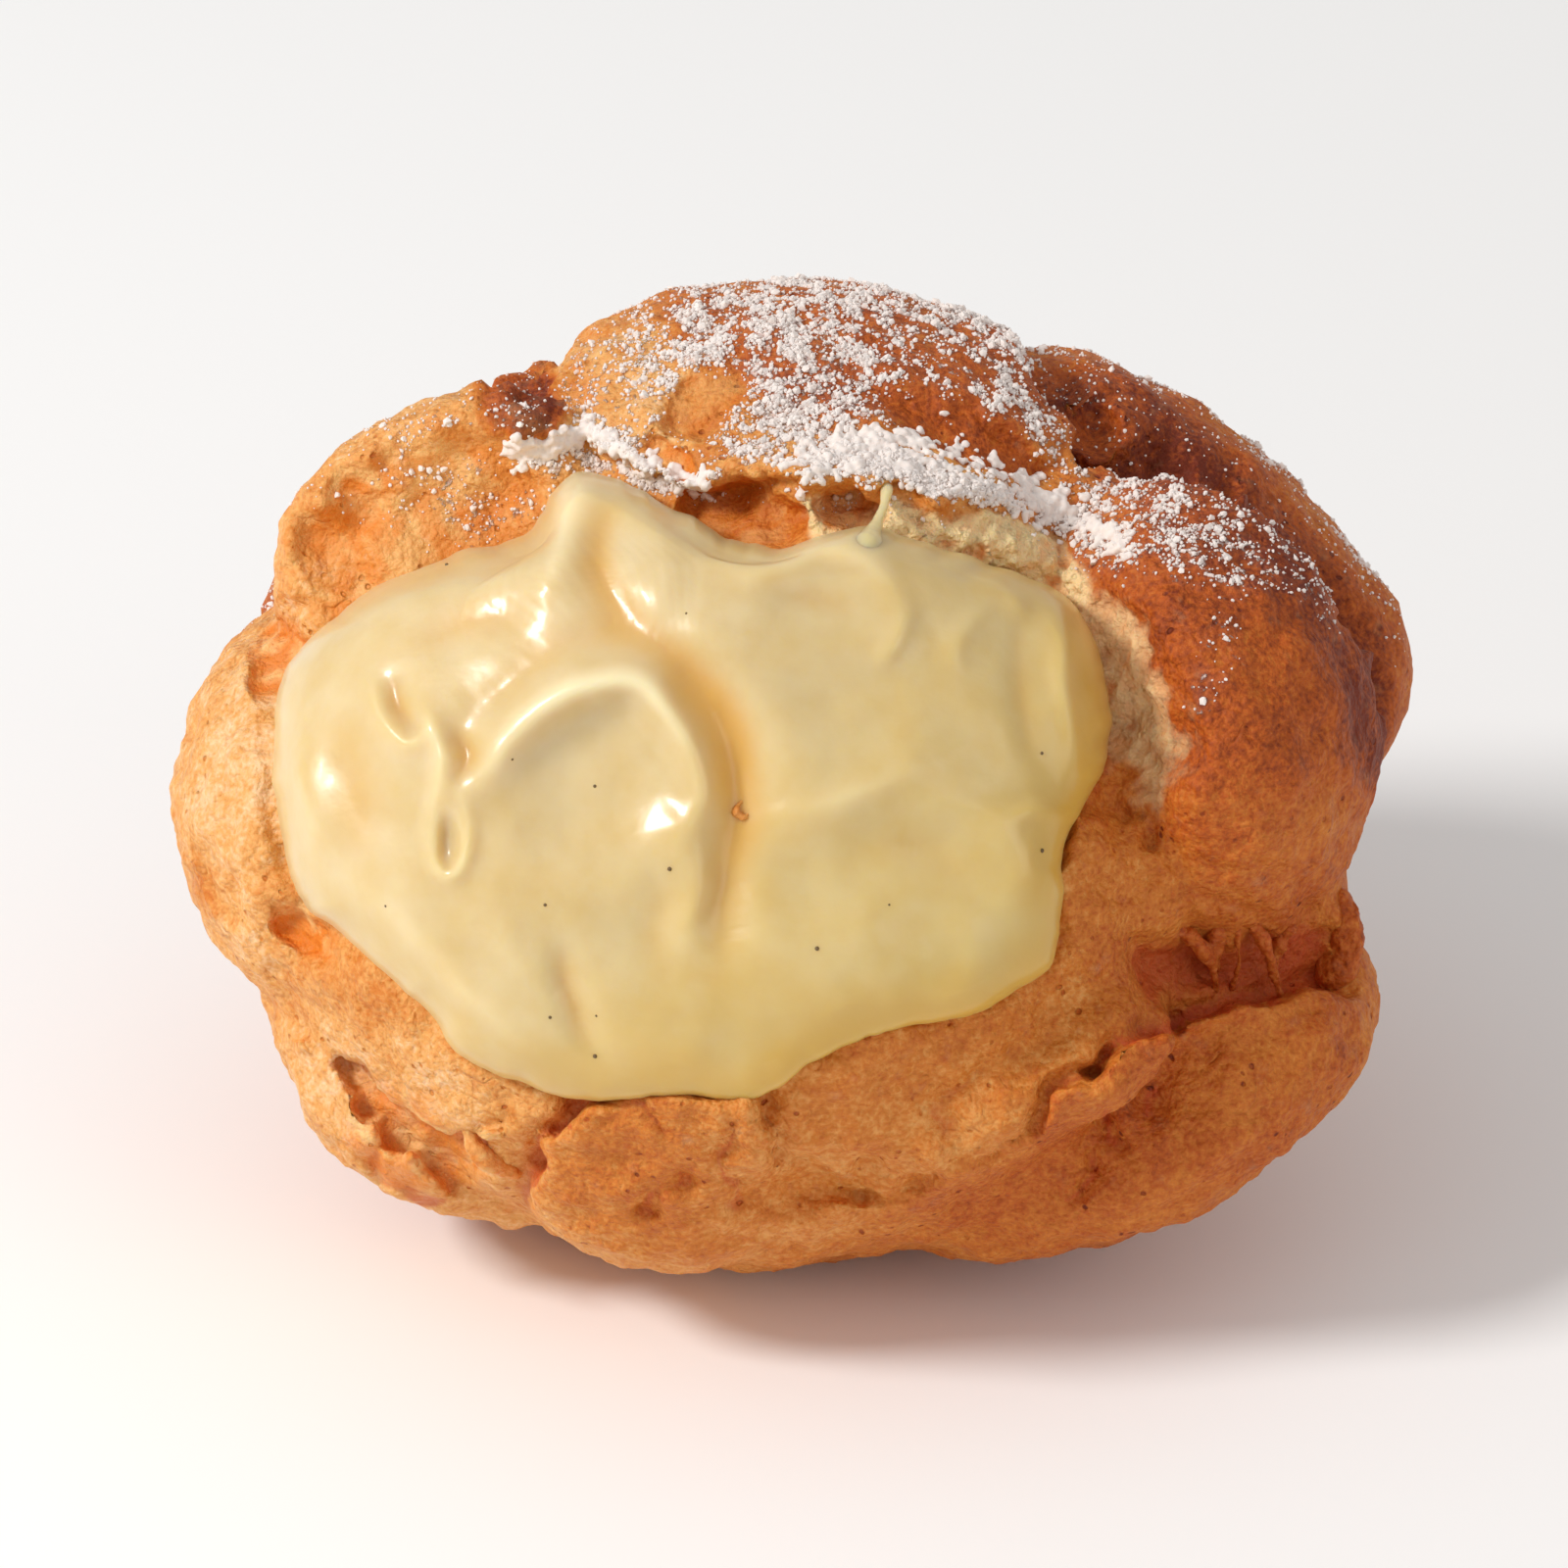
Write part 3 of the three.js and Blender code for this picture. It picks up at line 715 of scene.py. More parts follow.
class Wire:
    """A socket of a material, so that sums in a shader are written as sums."""

    def __init__(self, tree, socket=None):
        self.tree = tree
        self.socket = socket

    def node(self, kind, settings, sockets, output=0):
        """Any node: its settings first, then a number, a colour or a wire for each of its sockets."""
        made = self.tree.nodes.new("ShaderNode" + kind)
        for name, value in settings.items():
            if name == "stops":
                while len(made.color_ramp.elements) < len(value):
                    made.color_ramp.elements.new(1.0)
                for element, (position, colour) in zip(made.color_ramp.elements, value):
                    element.position = position
                    element.color = colour
            else:
                setattr(made, name, value)
        for name, value in sockets.items():
            if isinstance(value, Wire):
                self.tree.links.new(value.socket, made.inputs[name])
            else:
                made.inputs[name].default_value = value
        return Wire(self.tree, made.outputs[output])

    def math(self, operation, *values):
        return self.node("Math", {"operation": operation}, dict(enumerate(values)))

    def __add__(self, other):
        return self.math("ADD", self, other)

    def __sub__(self, other):
        return self.math("SUBTRACT", self, other)

    def __rsub__(self, other):
        return self.math("SUBTRACT", other, self)

    def __mul__(self, other):
        return self.math("MULTIPLY", self, other)

    __radd__ = __add__
    __rmul__ = __mul__

    def step(self, low, high):
        """0 below low and 1 above high, smooth between them."""
        settings = {"interpolation_type": "SMOOTHSTEP"}
        return self.node("MapRange", settings, {"Value": self, "From Min": low, "From Max": high})

    def mix(self, first, second):
        """The first colour where this is 0 and the second where it is 1."""
        return self.node("Mix", {"data_type": "RGBA"}, {0: self, 6: first, 7: second}, output=2)

    def painted(self, name):
        """One of the numbers that the mesh keeps for each vertex."""
        return self.node("Attribute", {"attribute_name": name}, {}, output=2)

    def places(self):
        return self.node("TexCoord", {}, {}, output=3)

    def cloud(self, pitch, detail=2.0, places=None, twist=0.0):
        """Noise from 0 to 1 that changes over about one pitch."""
        sockets = {"Vector": places or self.places(), "Scale": 1 / (pitch * MM)}
        return self.node("TexNoise", {}, {**sockets, "Detail": detail, "Distortion": twist})

    def streaks(self, pitch, stretch, turn):
        """Noise drawn out along a direction that is turned from across towards up."""
        sockets = {"Rotation": (0, math.radians(turn), 0), "Scale": (1 / stretch, 1, 1)}
        return self.cloud(pitch, 3.0, self.node("Mapping", {}, {"Vector": self.places(), **sockets}))

    def shaken(self, pitch, amount):
        """Places moved to and fro, so that a regular pattern read from them turns irregular."""
        wobble = self.node("TexNoise", {}, {"Vector": self.places(), "Scale": 1 / (pitch * MM)}, output=1)
        centred = self.node("VectorMath", {"operation": "SUBTRACT"}, {0: wobble, 1: (0.5, 0.5, 0.5)})
        scaled = self.node("VectorMath", {"operation": "SCALE"}, {0: centred, 3: amount * MM})
        return self.node("VectorMath", {"operation": "ADD"}, {0: self.places(), 1: scaled})

    def cells(self, pitch, places=None, feature="F1"):
        """Distance to the middle or the edge of the nearest of many small cells, in pitches."""
        sockets = {"Vector": places or self.places(), "Scale": 1 / (pitch * MM)}
        return self.node("TexVoronoi", {"feature": feature}, sockets)


def dye(red, green, blue):
    """A colour given as 0 to 255 screen values."""
    shares = [value / 255 for value in (red, green, blue)]
    linear = [share / 12.92 if share < 0.04045 else ((share + 0.055) / 1.055) ** 2.4 for share in shares]
    return (*linear, 1.0)


def new_material(name):
    """A material, a wire in its tree to build from, and its shader's sockets."""
    material = bpy.data.materials.new(name)
    material.use_nodes = True
    tree = material.node_tree
    return material, Wire(tree), tree.nodes["Principled BSDF"].inputs


def feed(sockets, name, wire):
    wire.tree.links.new(wire.socket, sockets[name])


shell_material, base, sockets = new_material("baked_choux")
brown = base.painted("brown")
gap = base.painted("gap")
crumb_share = base.painted("crumb")
glow = base.painted("glow")
pit = base.painted("pit")
sugar = base.painted("sugar")
blotch = base.cloud(7.0, 3.0)
mottle = base.cloud(1.6, 5.0)
grain = base.cloud(0.38, 4.0)
leather = base.cells(0.9, base.shaken(0.9, 0.4))
# pores: tiny pin holes, dark dots of painted shade in the colour and small dents in the bump
pores = base.cells(1.3, base.shaken(1.4, 0.9)).step(0.2, 0.08) * base.cloud(5.0, 2.0).step(0.46, 0.6)
crackle = base.cells(5.0, base.shaken(3.0, 2.4), "DISTANCE_TO_EDGE").step(0.04, 0.0)
crackle = crackle * base.cloud(2.6, 3.0).step(0.55, 0.66) * (1 - crumb_share)
toast = brown + (blotch - 0.5) * 0.45 + (mottle - 0.5) * (0.6 - brown * 0.4)
toast = toast + (grain - 0.5) * 0.6 + (leather - 0.4) * 0.1 + pores * 0.3
crust_colour = base.node(
    "ValToRGB",
    {"stops": [
        (0.0, dye(250, 206, 158)),
        (0.25, dye(234, 168, 94)),
        (0.5, dye(212, 126, 46)),
        (0.75, dye(186, 88, 22)),
        (1.0, dye(118, 40, 8)),
    ]},
    {"Fac": toast},
)
# painted shade: the crumb turns a darker orange down in its bubbles
crumb_tan = pit * 0.7 + (mottle - 0.5) * 1.4 + brown.step(0.4, 0.8) * 0.2
crumb_colour = crumb_tan.step(0.1, 1.1).mix(dye(255, 222, 166), dye(236, 138, 58))
# painted glow: the orange is light shining through thin dough; the paler tone is the webs' own colour
lit_web_colour = base.cloud(3.0, 5.0, twist=0.6).step(0.42, 0.68).mix(dye(228, 124, 26), dye(248, 200, 130))
colour = (crumb_share + (mottle - 0.5) * 1.2).step(0.1, 0.9).mix(crust_colour, crumb_colour)
# painted shade: gaps, cracks and fine crackle lines are darkened to a deep red-brown
colour = (gap.step(0.4, 1.15) * 0.75 + crackle * 0.08).mix(colour, dye(196, 74, 36))
colour = (glow * 0.85).mix(colour, lit_web_colour)
sugar_cover = (sugar + (base.cloud(0.5, 5.0) - 0.5) * 2.4).step(0.42, 0.66) * sugar.step(0.02, 0.12)
colour = (sugar_cover * 0.65 + sugar * 0.1).mix(colour, dye(238, 222, 214))
feed(sockets, "Base Color", colour)
left_fibres = base.streaks(0.5, 6.0, 38) * brown.step(0.45, 0.2)
fibres = left_fibres + base.streaks(0.5, 5.0, -35) * brown.step(0.2, 0.5)
height = base.cloud(3.4, 3.0) * (1.2 - glow * 0.7) + base.cloud(1.4) * 0.38
height = height - leather * 0.12 + grain * 0.28 + fibres * 0.16
height = height + base.cloud(0.7, 5.0) * crumb_share * 0.8 + sugar_cover * 0.25 - crackle * 0.1 - pores * 0.2
bump = base.node("Bump", {}, {"Strength": 1.0, "Distance": 1 * MM, "Height": height})
feed(sockets, "Normal", bump)
feed(sockets, "Roughness", 0.44 + brown * 0.18 + crumb_share * 0.2 + sugar_cover * 0.3)
sockets["Specular IOR Level"].default_value = 0.28
sockets["Subsurface Weight"].default_value = 0.2
sockets["Subsurface Radius"].default_value = (1.0, 0.45, 0.2)
sockets["Subsurface Scale"].default_value = 1.6 * MM
shell_mesh.materials.append(shell_material)
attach(shell, "root")
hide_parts("choux_shell")

# ---------------------------------------------------------------- custard cream
# Soft custard pushed into the puff and swirled with a spoon: a cushion that fills the mouth.
CREAM_SINK = 8.0  # how far the cushion goes down behind its edge
CREAM_OVERLAP = 0.6  # how far its edge laps over the mouth's
CREAM_DETAIL = 119
FRONT_SHARE = 0.72  # how much of its faces the front gets
EVEN_TURNS = np.radians(range(-32, 33, 4))

ball = bmesh.new()
bmesh.ops.create_cube(ball, size=2.0)
bmesh.ops.subdivide_edges(ball, edges=ball.edges[:], cuts=CREAM_DETAIL, use_grid_fill=True)
cream_mesh = bpy.data.meshes.new("custard")
ball.to_mesh(cream_mesh)
ball.free()
directions = vertex_array(cream_mesh)
directions /= np.linalg.norm(directions, axis=1)[:, None]
angle = np.arctan2(directions[:, 1], directions[:, 0])
steepness = np.arccos(np.clip(directions[:, 2], -1, 1)) / math.pi  # 0 in front, 1 behind
behind_edge = 0.5 + (steepness - FRONT_SHARE) / (1 - FRONT_SHARE) * 0.5
steepness = np.where(steepness < FRONT_SHARE, steepness / FRONT_SHARE * 0.5, behind_edge)
away = np.sin(steepness * math.pi)
ahead = np.cos(steepness * math.pi)
full = (away**CREAM_FULLNESS + np.abs(ahead) ** CREAM_FULLNESS) ** (-1 / CREAM_FULLNESS)
angle_across, angle_up = mouth_middle[0] + np.cos(angle), mouth_middle[1] + np.sin(angle)
waver = rough(np.stack([angle_across * 9, angle_up * 9, np.zeros(len(angle))], 1), 1.4, 51, 3)
spread = np.where(ahead > 0, away * full, 1.0)


def even_at_middle(values):
    """Values given round the mouth: exact at the cushion's edge, and evened out towards its middle."""
    width = np.maximum(smooth_step(1.0, 0.72, spread), 0.2)
    turns = [angle + turn * width for turn in EVEN_TURNS]
    places = [(mouth_middle[0] + np.cos(turn), mouth_middle[1] + np.sin(turn)) for turn in turns]
    return np.mean([round_mouth(*place, values) for place in places], axis=0)


reach = even_at_middle(mouth_reach) + CREAM_OVERLAP + waver * 0.5 * smooth_step(0.88, 1.0, spread)
rim = even_at_middle(mouth_rim) + 0.3
across = mouth_middle[0] + np.cos(angle) * away * full * reach
up = mouth_middle[1] + np.sin(angle) * away * full * reach
out = rim + full * np.where(ahead > 0, ahead * (CREAM_FRONT - rim), ahead * CREAM_SINK)

# Strokes of the spoon: line, height (negative for a groove), and how wide the left and right slopes are.
STROKES = {
    "swirl": (
        [(-22.5, -0.8), (-20.8, 0.6), (-18.8, 2.6), (-16.8, 4.5), (-14.5, 5.9), (-11.6, 6.5), (-9.6, 6.0),
         (-8.2, 4.6), (-7.1, 2.8), (-6.3, 0.8), (-5.9, -1.2), (-6.6, -2.8), (-8.2, -3.4)],
        1.9, 1.7, 1.5,
    ),
    "beyond_swirl": (
        [(-12.5, 10.0), (-8.6, 8.4), (-5.8, 5.4), (-4.2, 2.0), (-3.8, -1.6), (-4.4, -5.4), (-5.4, -8.6)],
        -1.5, 1.8, 2.0,
    ),
    "before_swirl": ([(-22.6, 3.2), (-19.0, 6.2), (-15.6, 8.6), (-12.6, 9.6)], -0.6, 1.8, 1.6),
    "swirl_foot": ([(-6.4, -4.6), (-6.6, -7.6), (-7.6, -10.6)], 0.6, 1.2, 1.4),
    "notch": ([(-26.7, 6.2), (-26.4, 4.6), (-25.8, 3.4)], -0.9, 0.9, 0.7),
    "notch_rim": ([(-28.0, 6.6), (-27.6, 4.2), (-26.2, 2.3), (-24.8, 2.9), (-24.3, 4.2)], 0.7, 0.7, 0.8),
    "tongue": ([(-24.6, 3.9), (-23.9, 2.8), (-23.7, 0.6), (-24.0, -1.8), (-24.5, -3.6)], 0.9, 1.2, 0.8),
    "tongue_tip": (
        [(-24.4, -3.6), (-24.2, -5.4), (-23.1, -6.5), (-22.0, -5.6), (-21.7, -3.2), (-22.2, -1.4)],
        0.6, 0.7, 0.6,
    ),
    "beside_tongue": ([(-22.6, 3.0), (-22.0, 1.4), (-22.6, -0.2)], -0.9, 0.9, 0.9),
    "left_valley": ([(-30.4, 4.4), (-29.4, -1.0), (-28.8, -6.0)], -0.7, 2.6, 2.4),
    "left_edge_gloss": ([(-33.2, 3.0), (-33.0, -1.0), (-31.6, -5.2)], 0.5, 1.4, 1.4),
    "lower_left_fold": ([(-27.4, -9.4), (-24.2, -12.5), (-20.8, -15.6), (-17.4, -18.2)], 0.8, 2.6, 1.6),
    "lower_left_soft": ([(-21.8, -9.1), (-18.2, -12.2), (-14.1, -16.2)], 0.5, 2.2, 2.2),
    "crease": ([(-15.4, -11.6), (-15.0, -14.4), (-13.4, -18.2)], -0.8, 1.2, 1.0),
    "valley_one": ([(-8.6, -6.5), (-9.4, -10.0), (-8.6, -13.8)], -0.5, 1.6, 1.6),
    "valley_two": ([(-5.2, -7.5), (-4.6, -11.0), (-5.6, -14.4)], -0.5, 1.6, 1.6),
    "right_line": ([(-2.6, -3.0), (1.5, -1.8), (5.2, -1.0), (7.2, 0.4), (8.2, 2.0)], 0.8, 1.6, 2.2),
    "right_arc": ([(7.6, -1.4), (11.6, -2.0), (14.4, -3.8), (16.2, -7.0)], 0.6, 1.8, 1.8),
    "right_hollow": ([(4.0, -4.6), (9.0, -5.0), (12.0, -8.0)], -0.5, 2.2, 2.2),
    "right_low": ([(9.6, -7.1), (12.2, -10.6), (11.6, -14.0)], 0.4, 1.8, 1.8),
    "right_roll": ([(17.6, 11.4), (18.2, 9.4), (18.0, 6.9), (18.8, 3.6), (18.6, 0.6)], 0.9, 0.9, 0.9),
    "right_dip": ([(15.4, 10.4), (15.2, 6.0), (16.2, 1.0)], -0.6, 1.6, 1.2),
    "right_gloss": ([(14.6, -2.4), (16.2, -2.0), (17.4, -2.8)], 0.6, 0.9, 0.9),
    "top_right_lobe": (
        [(-3.0, 13.6), (-0.4, 14.6), (2.0, 15.4), (4.4, 14.8), (6.4, 13.2), (7.4, 11.0)], 1.1, 1.6, 1.3,
    ),
    "under_top_lobe": ([(-1.0, 11.8), (2.0, 11.9), (4.4, 10.9)], -0.6, 1.4, 1.4),
    "small_fold_one": ([(7.6, 11.0), (6.8, 9.0), (5.6, 7.6)], 0.5, 0.8, 1.0),
    "small_fold_two": ([(12.8, 11.2), (11.2, 9.6), (10.4, 7.4)], 0.4, 0.8, 1.0),
    "edge_ruck_one": ([(12.4, 13.4), (14.4, 12.4), (15.4, 11.0)], 0.5, 0.7, 0.7),
    "neck": ([(-14.4, 20.4), (-15.2, 18.0), (-15.6, 15.0), (-16.6, 12.0)], 1.4, 2.6, 1.5),
    "neck_valley": ([(-12.2, 18.2), (-12.8, 15.6), (-12.6, 12.8), (-11.0, 10.6)], -1.1, 1.4, 1.8),
    "neck_right": ([(-9.6, 17.8), (-8.8, 15.0), (-8.4, 12.6)], 0.8, 1.6, 2.6),
    "upper_left_roll": ([(-29.6, 8.8), (-25.6, 11.8), (-21.0, 13.4), (-17.6, 14.2)], 0.5, 1.6, 2.2),
    "upper_left_valley": ([(-25.6, 8.6), (-21.4, 10.6), (-17.6, 10.8)], -0.8, 2.0, 2.0),
}
DIMPLES = {
    "bowl": ((-13.6, -0.6), (6.4, 6.0), 20, 1.2),
    "tongue_hollow": ((-23.1, -4.2), (0.9, 1.9), 0, 0.7),
    "middle_dip": ((4.0, 5.0), (6.0, 4.0), 20, 0.5),
    "low_swell": ((0.0, -12.0), (9.0, 5.0), 0, -0.5),
}


def stroke_relief(across, up, line, left, right):
    """1 along a line, fading to its left and right over different widths and towards its two ends."""
    relief = np.zeros(len(across))
    ahead = np.gradient(line, axis=0)
    ahead /= np.linalg.norm(ahead, axis=1)[:, None]
    for number, (spot, way) in enumerate(zip(line, ahead)):
        gap = np.hypot(across - spot[0], up - spot[1])
        side = ((across - spot[0]) * way[1] - (up - spot[1]) * way[0]) / np.maximum(gap, 1e-6)
        width = (left + right) / 2 + side * (right - left) / 2
        taper = math.sin(math.pi * (number + 0.5) / len(line)) ** 0.6
        relief = np.maximum(relief, taper * np.exp(-((gap / width) ** 1.7)))
    return relief


on_face = np.stack([across, up, np.zeros(len(across))], 1)
swirl_across = across + rough(on_face, 5.0, 11, 1) * 0.5
swirl_up = up + rough(on_face, 5.0, 12, 1) * 0.5
strokes = rough(on_face, 8.0, 13, 1) * 0.7
strokes += rough(on_face, 3.0, 14, 1) * 0.14 + rough(on_face, 1.3, 15, 1) * 0.04
grooves = np.zeros(len(across))
for line, height, left, right in STROKES.values():
    stroke = height * stroke_relief(swirl_across, swirl_up, curve_through(line), left, right)
    strokes += stroke
    grooves += np.minimum(stroke, 0)
for middle, half, turn, depth in DIMPLES.values():
    strokes -= depth * smooth_step(1.2, 0.2, on_oval(swirl_across, swirl_up, middle, half, turn))
# painted shade: the grooves are painted a deeper golden yellow, as shade in the translucent custard
paint(cream_mesh, "hollow", smooth_step(-0.1, -1.5, grooves))
# painted highlight: the crests of the spoon strokes are painted whiter
paint(cream_mesh, "crest", smooth_step(0.4, 1.9, strokes))
# painted shade: the custard turns a deeper yellow towards the lower right, away from the main light
paint(cream_mesh, "deep", smooth_step(-30, 34, across - up))
out += strokes * smooth_step(0.0, 0.35, ahead)
points = np.outer(across, ACROSS) + np.outer(up, UP) + np.outer(out, OUT)
set_vertices(cream_mesh, points * MM + np.array(MIDDLE))
cream_mesh.polygons.foreach_set("use_smooth", np.ones(len(cream_mesh.polygons), bool))
cream = bpy.data.objects.new("custard", cream_mesh)
scene.collection.objects.link(cream)
to_edge, _, _ = near_line(across, up, MOUTH, closed=True)
# golden where the custard thins over the crust; its extra strength towards the lower right is painted shade
paint(cream_mesh, "edge", smooth_step(4.0, 0.0, to_edge) * (0.3 + 0.7 * smooth_step(-10, 20, across - up)))

cream_material, base, sockets = new_material("custard")
richness = base.cloud(9.0, 2.0) * 0.6 + base.cloud(2.5, 3.0) * 0.4
edge = base.painted("edge")
# painted light and shade: pale colours for the lit upper left, deeper ones for the shaded lower right
pale = richness.step(0.3, 0.7).mix(dye(225, 205, 162), dye(218, 191, 134))
deep = richness.step(0.3, 0.7).mix(dye(218, 193, 125), dye(213, 181, 99))
custard_colour = base.painted("deep").mix(pale, deep)
# painted highlight: whiter on the crests
custard_colour = (base.painted("crest") * 0.8).mix(custard_colour, dye(246, 234, 198))
# painted shade: golden in the grooves
custard_colour = (base.painted("hollow") * 0.8).mix(custard_colour, dye(224, 166, 54))
# thin golden edge of the custard, partly painted shade towards the lower right
feed(sockets, "Base Color", (edge * 0.7).mix(custard_colour, dye(208, 164, 60)))
smear = base.streaks(2.2, 3.0, 20) * 0.08 + base.cloud(1.6, 3.0) * 0.08
feed(sockets, "Normal", base.node("Bump", {}, {"Strength": 0.5, "Distance": 1 * MM, "Height": smear}))
sockets["Roughness"].default_value = 0.34
sockets["Subsurface Weight"].default_value = 0.8
sockets["Subsurface Radius"].default_value = (1.0, 0.8, 0.4)
sockets["Subsurface Scale"].default_value = 2.5 * MM
sockets["Coat Weight"].default_value = 0.26
sockets["Coat Roughness"].default_value = 0.1
cream_mesh.materials.append(cream_material)
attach(cream, "root")
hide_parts("custard_cream")


# ---------------------------------------------------------------- torn scraps
# Strands and scraps left where the puff was pulled open: custard drawn out at the mouth's upper edge,
# dough across the gap above the right skirt, a curled flake and a crumb. Each is balls along a line, melted
# together.
CUSTARD_SCRAPS = {
    # name: [(across, up, lift off the surface, radius), ...]
    "drawn_strand": [
        (4.2, 14.0, -1.3, 1.3), (4.8, 15.2, -0.3, 1.1), (5.2, 16.2, -0.1, 0.7), (5.6, 17.2, 0.0, 0.42),
        (6.0, 18.2, 0.0, 0.34), (6.2, 19.4, 0.2, 0.5),
    ],
}
DOUGH_SCRAPS = {
    "first_strand": [
        (26.0, -10.2, -0.7, 0.5), (27.2, -11.2, -0.3, 0.6), (28.2, -12.6, 0.0, 0.45),
        (28.6, -14.4, 0.0, 0.24),
    ],
    "first_web": [(28.6, -10.2, -0.4, 0.7), (28.5, -11.6, 0.0, 0.6), (28.5, -13.4, 0.1, 0.3)],
    "thin_strand": [(29.9, -10.4, -0.2, 0.3), (30.1, -12.2, 0.2, 0.18), (29.7, -14.2, 0.0, 0.22)],
    "second_strand": [
        (31.0, -10.0, -0.7, 0.5), (31.9, -11.4, -0.3, 0.5), (32.4, -13.0, 0.0, 0.36), (33.0, -14.8, 0.0, 0.3),
    ],
    "second_web": [(33.4, -10.2, -0.5, 0.6), (32.6, -11.8, 0.0, 0.5), (32.4, -13.4, 0.1, 0.3)],
    "right_flap": [(37.0, -8.4, -0.8, 1.0), (37.6, -10.8, -0.6, 1.3), (36.8, -13.4, -0.6, 1.6)],
    "curled_flake": [
        (-22.0, -23.8, -0.3, 0.5), (-21.5, -25.0, 0.1, 0.7), (-20.3, -26.0, 0.0, 0.8),
        (-18.9, -26.6, -0.3, 0.6),
    ],
    "crumb_bit": [
        (-3.5, -1.6, 0.0, 0.16), (-3.9, -2.2, 0.1, 0.24), (-3.5, -2.7, 0.1, 0.28), (-3.1, -2.5, 0.0, 0.18),
    ],
}
SCRAP_VOXEL = 0.16


def surface_out(piece, across, up):
    """How far out a piece's surface lies at a place on the face."""
    start = MIDDLE + Vector(ACROSS * across + UP * up + OUT * FAR_OUT) * MM
    hit, spot, _, _ = piece.ray_cast(start, -Vector(OUT))
    return (spot - MIDDLE).dot(Vector(OUT)) / MM if hit else 0.0


def melted_scraps(name, scraps, roughness):
    """One piece of balls along each scrap's line, from one place on the custard or the crust to another."""
    balls = bmesh.new()
    for scrap in scraps.values():
        ends = [
            max(surface_out(shell, *end[:2]), surface_out(cream, *end[:2])) for end in (scrap[0], scrap[-1])
        ]
        line = curve_through(scrap, steps=12)
        for number, (across, up, lift, radius) in enumerate(line):
            level = ends[0] + (ends[1] - ends[0]) * number / (len(line) - 1)
            made = bmesh.ops.create_icosphere(balls, subdivisions=2, radius=radius * MM)
            spot = MIDDLE + Vector(ACROSS * across + UP * up + OUT * (level + lift)) * MM
            bmesh.ops.translate(balls, verts=made["verts"], vec=spot)
    mesh = bpy.data.meshes.new(name)
    balls.to_mesh(mesh)
    balls.free()
    piece = bpy.data.objects.new(name, mesh)
    scene.collection.objects.link(piece)
    apply_modifier(piece, "REMESH", mode="VOXEL", voxel_size=SCRAP_VOXEL * MM, use_smooth_shade=True)
    apply_modifier(piece, "SMOOTH", factor=0.5, iterations=3)
    spots = (vertex_array(piece.data) - np.array(MIDDLE)) / MM
    spots += vertex_normals(piece.data) * (rough(spots, 1.1, 41) * roughness)[:, None]
    set_vertices(piece.data, spots * MM + np.array(MIDDLE))
    return piece


bpy.context.view_layer.update()
custard_scraps = melted_scraps("custard_scraps", CUSTARD_SCRAPS, 0.06)
# painted highlight and painted shade for the drawn strand, set evenly like the custard near it
for name, value in {"edge": 0.1, "hollow": 0.0, "crest": 0.3, "deep": 0.4}.items():
    paint(custard_scraps.data, name, np.full(len(custard_scraps.data.vertices), value))
custard_scraps.data.materials.append(cream_material)
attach(custard_scraps, "root")

dough_scraps = melted_scraps("dough_scraps", DOUGH_SCRAPS, 0.22)
spots = (vertex_array(dough_scraps.data) - np.array(MIDDLE)) / MM
scrap_across, _, _ = face_places(spots)
in_right_gap = scrap_across > 10
# painted shade on the strands down in the right crevice, painted glow on the flake and the crumb
paint(dough_scraps.data, "brown", np.where(in_right_gap, 0.7, 0.3))
paint(dough_scraps.data, "glow", np.where(in_right_gap, 0.0, 0.6))
paint(dough_scraps.data, "gap", np.where(in_right_gap, 0.6, 0.1) * (scrap_across < 36))
for name in ("crumb", "pit", "sugar"):
    paint(dough_scraps.data, name, np.zeros(len(spots)))
dough_scraps.data.materials.append(shell_material)
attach(dough_scraps, "root")

# ---------------------------------------------------------------- vanilla seeds
# Tiny black seeds from a vanilla pod, stirred into the custard; the ones near its surface show.
SEEDS = [
    (-18.8, 1.2), (-13.3, -0.6), (-8.3, -6.1), (-27.3, -8.6), (-16.6, -8.5), (1.5, -11.4), (-13.2, -15.9),
    (-16.3, -16.0), (-13.3, -18.6), (-7.2, 10.9), (-23.4, 14.3), (16.5, -4.9), (6.3, -8.5), (16.5, 1.6),
]
SEED_WIDTH = 0.27
SEED_SINK = 0.06

bpy.context.view_layer.update()
seeds = bmesh.new()
for number, (seed_across, seed_up) in enumerate(SEEDS):
    sunk = surface_out(cream, seed_across, seed_up) - SEED_SINK
    spot = MIDDLE + Vector(ACROSS * seed_across + UP * seed_up + OUT * sunk) * MM
    seed_radius = SEED_WIDTH / 2 * (0.75 + 0.25 * (number % 3))
    made = bmesh.ops.create_icosphere(seeds, subdivisions=2, radius=seed_radius * MM)
    bmesh.ops.translate(seeds, verts=made["verts"], vec=spot)
seeds_mesh = bpy.data.meshes.new("vanilla_seeds")
seeds.to_mesh(seeds_mesh)
seeds.free()
seeds_mesh.polygons.foreach_set("use_smooth", np.ones(len(seeds_mesh.polygons), bool))
vanilla_seeds = bpy.data.objects.new("vanilla_seeds", seeds_mesh)
scene.collection.objects.link(vanilla_seeds)
seed_material, base, sockets = new_material("vanilla_seed")
feed(sockets, "Base Color", base.cloud(0.1).mix(dye(84, 64, 36), dye(120, 94, 54)))
sockets["Roughness"].default_value = 0.5
seeds_mesh.materials.append(seed_material)
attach(vanilla_seeds, "root")

# ---------------------------------------------------------------- icing sugar
# Icing sugar sifted over the finished puff: fine grains and soft clumps that lie where the crust faces up,
# and drifts that gathered along the lid's front edge.
rng = np.random.default_rng(7)


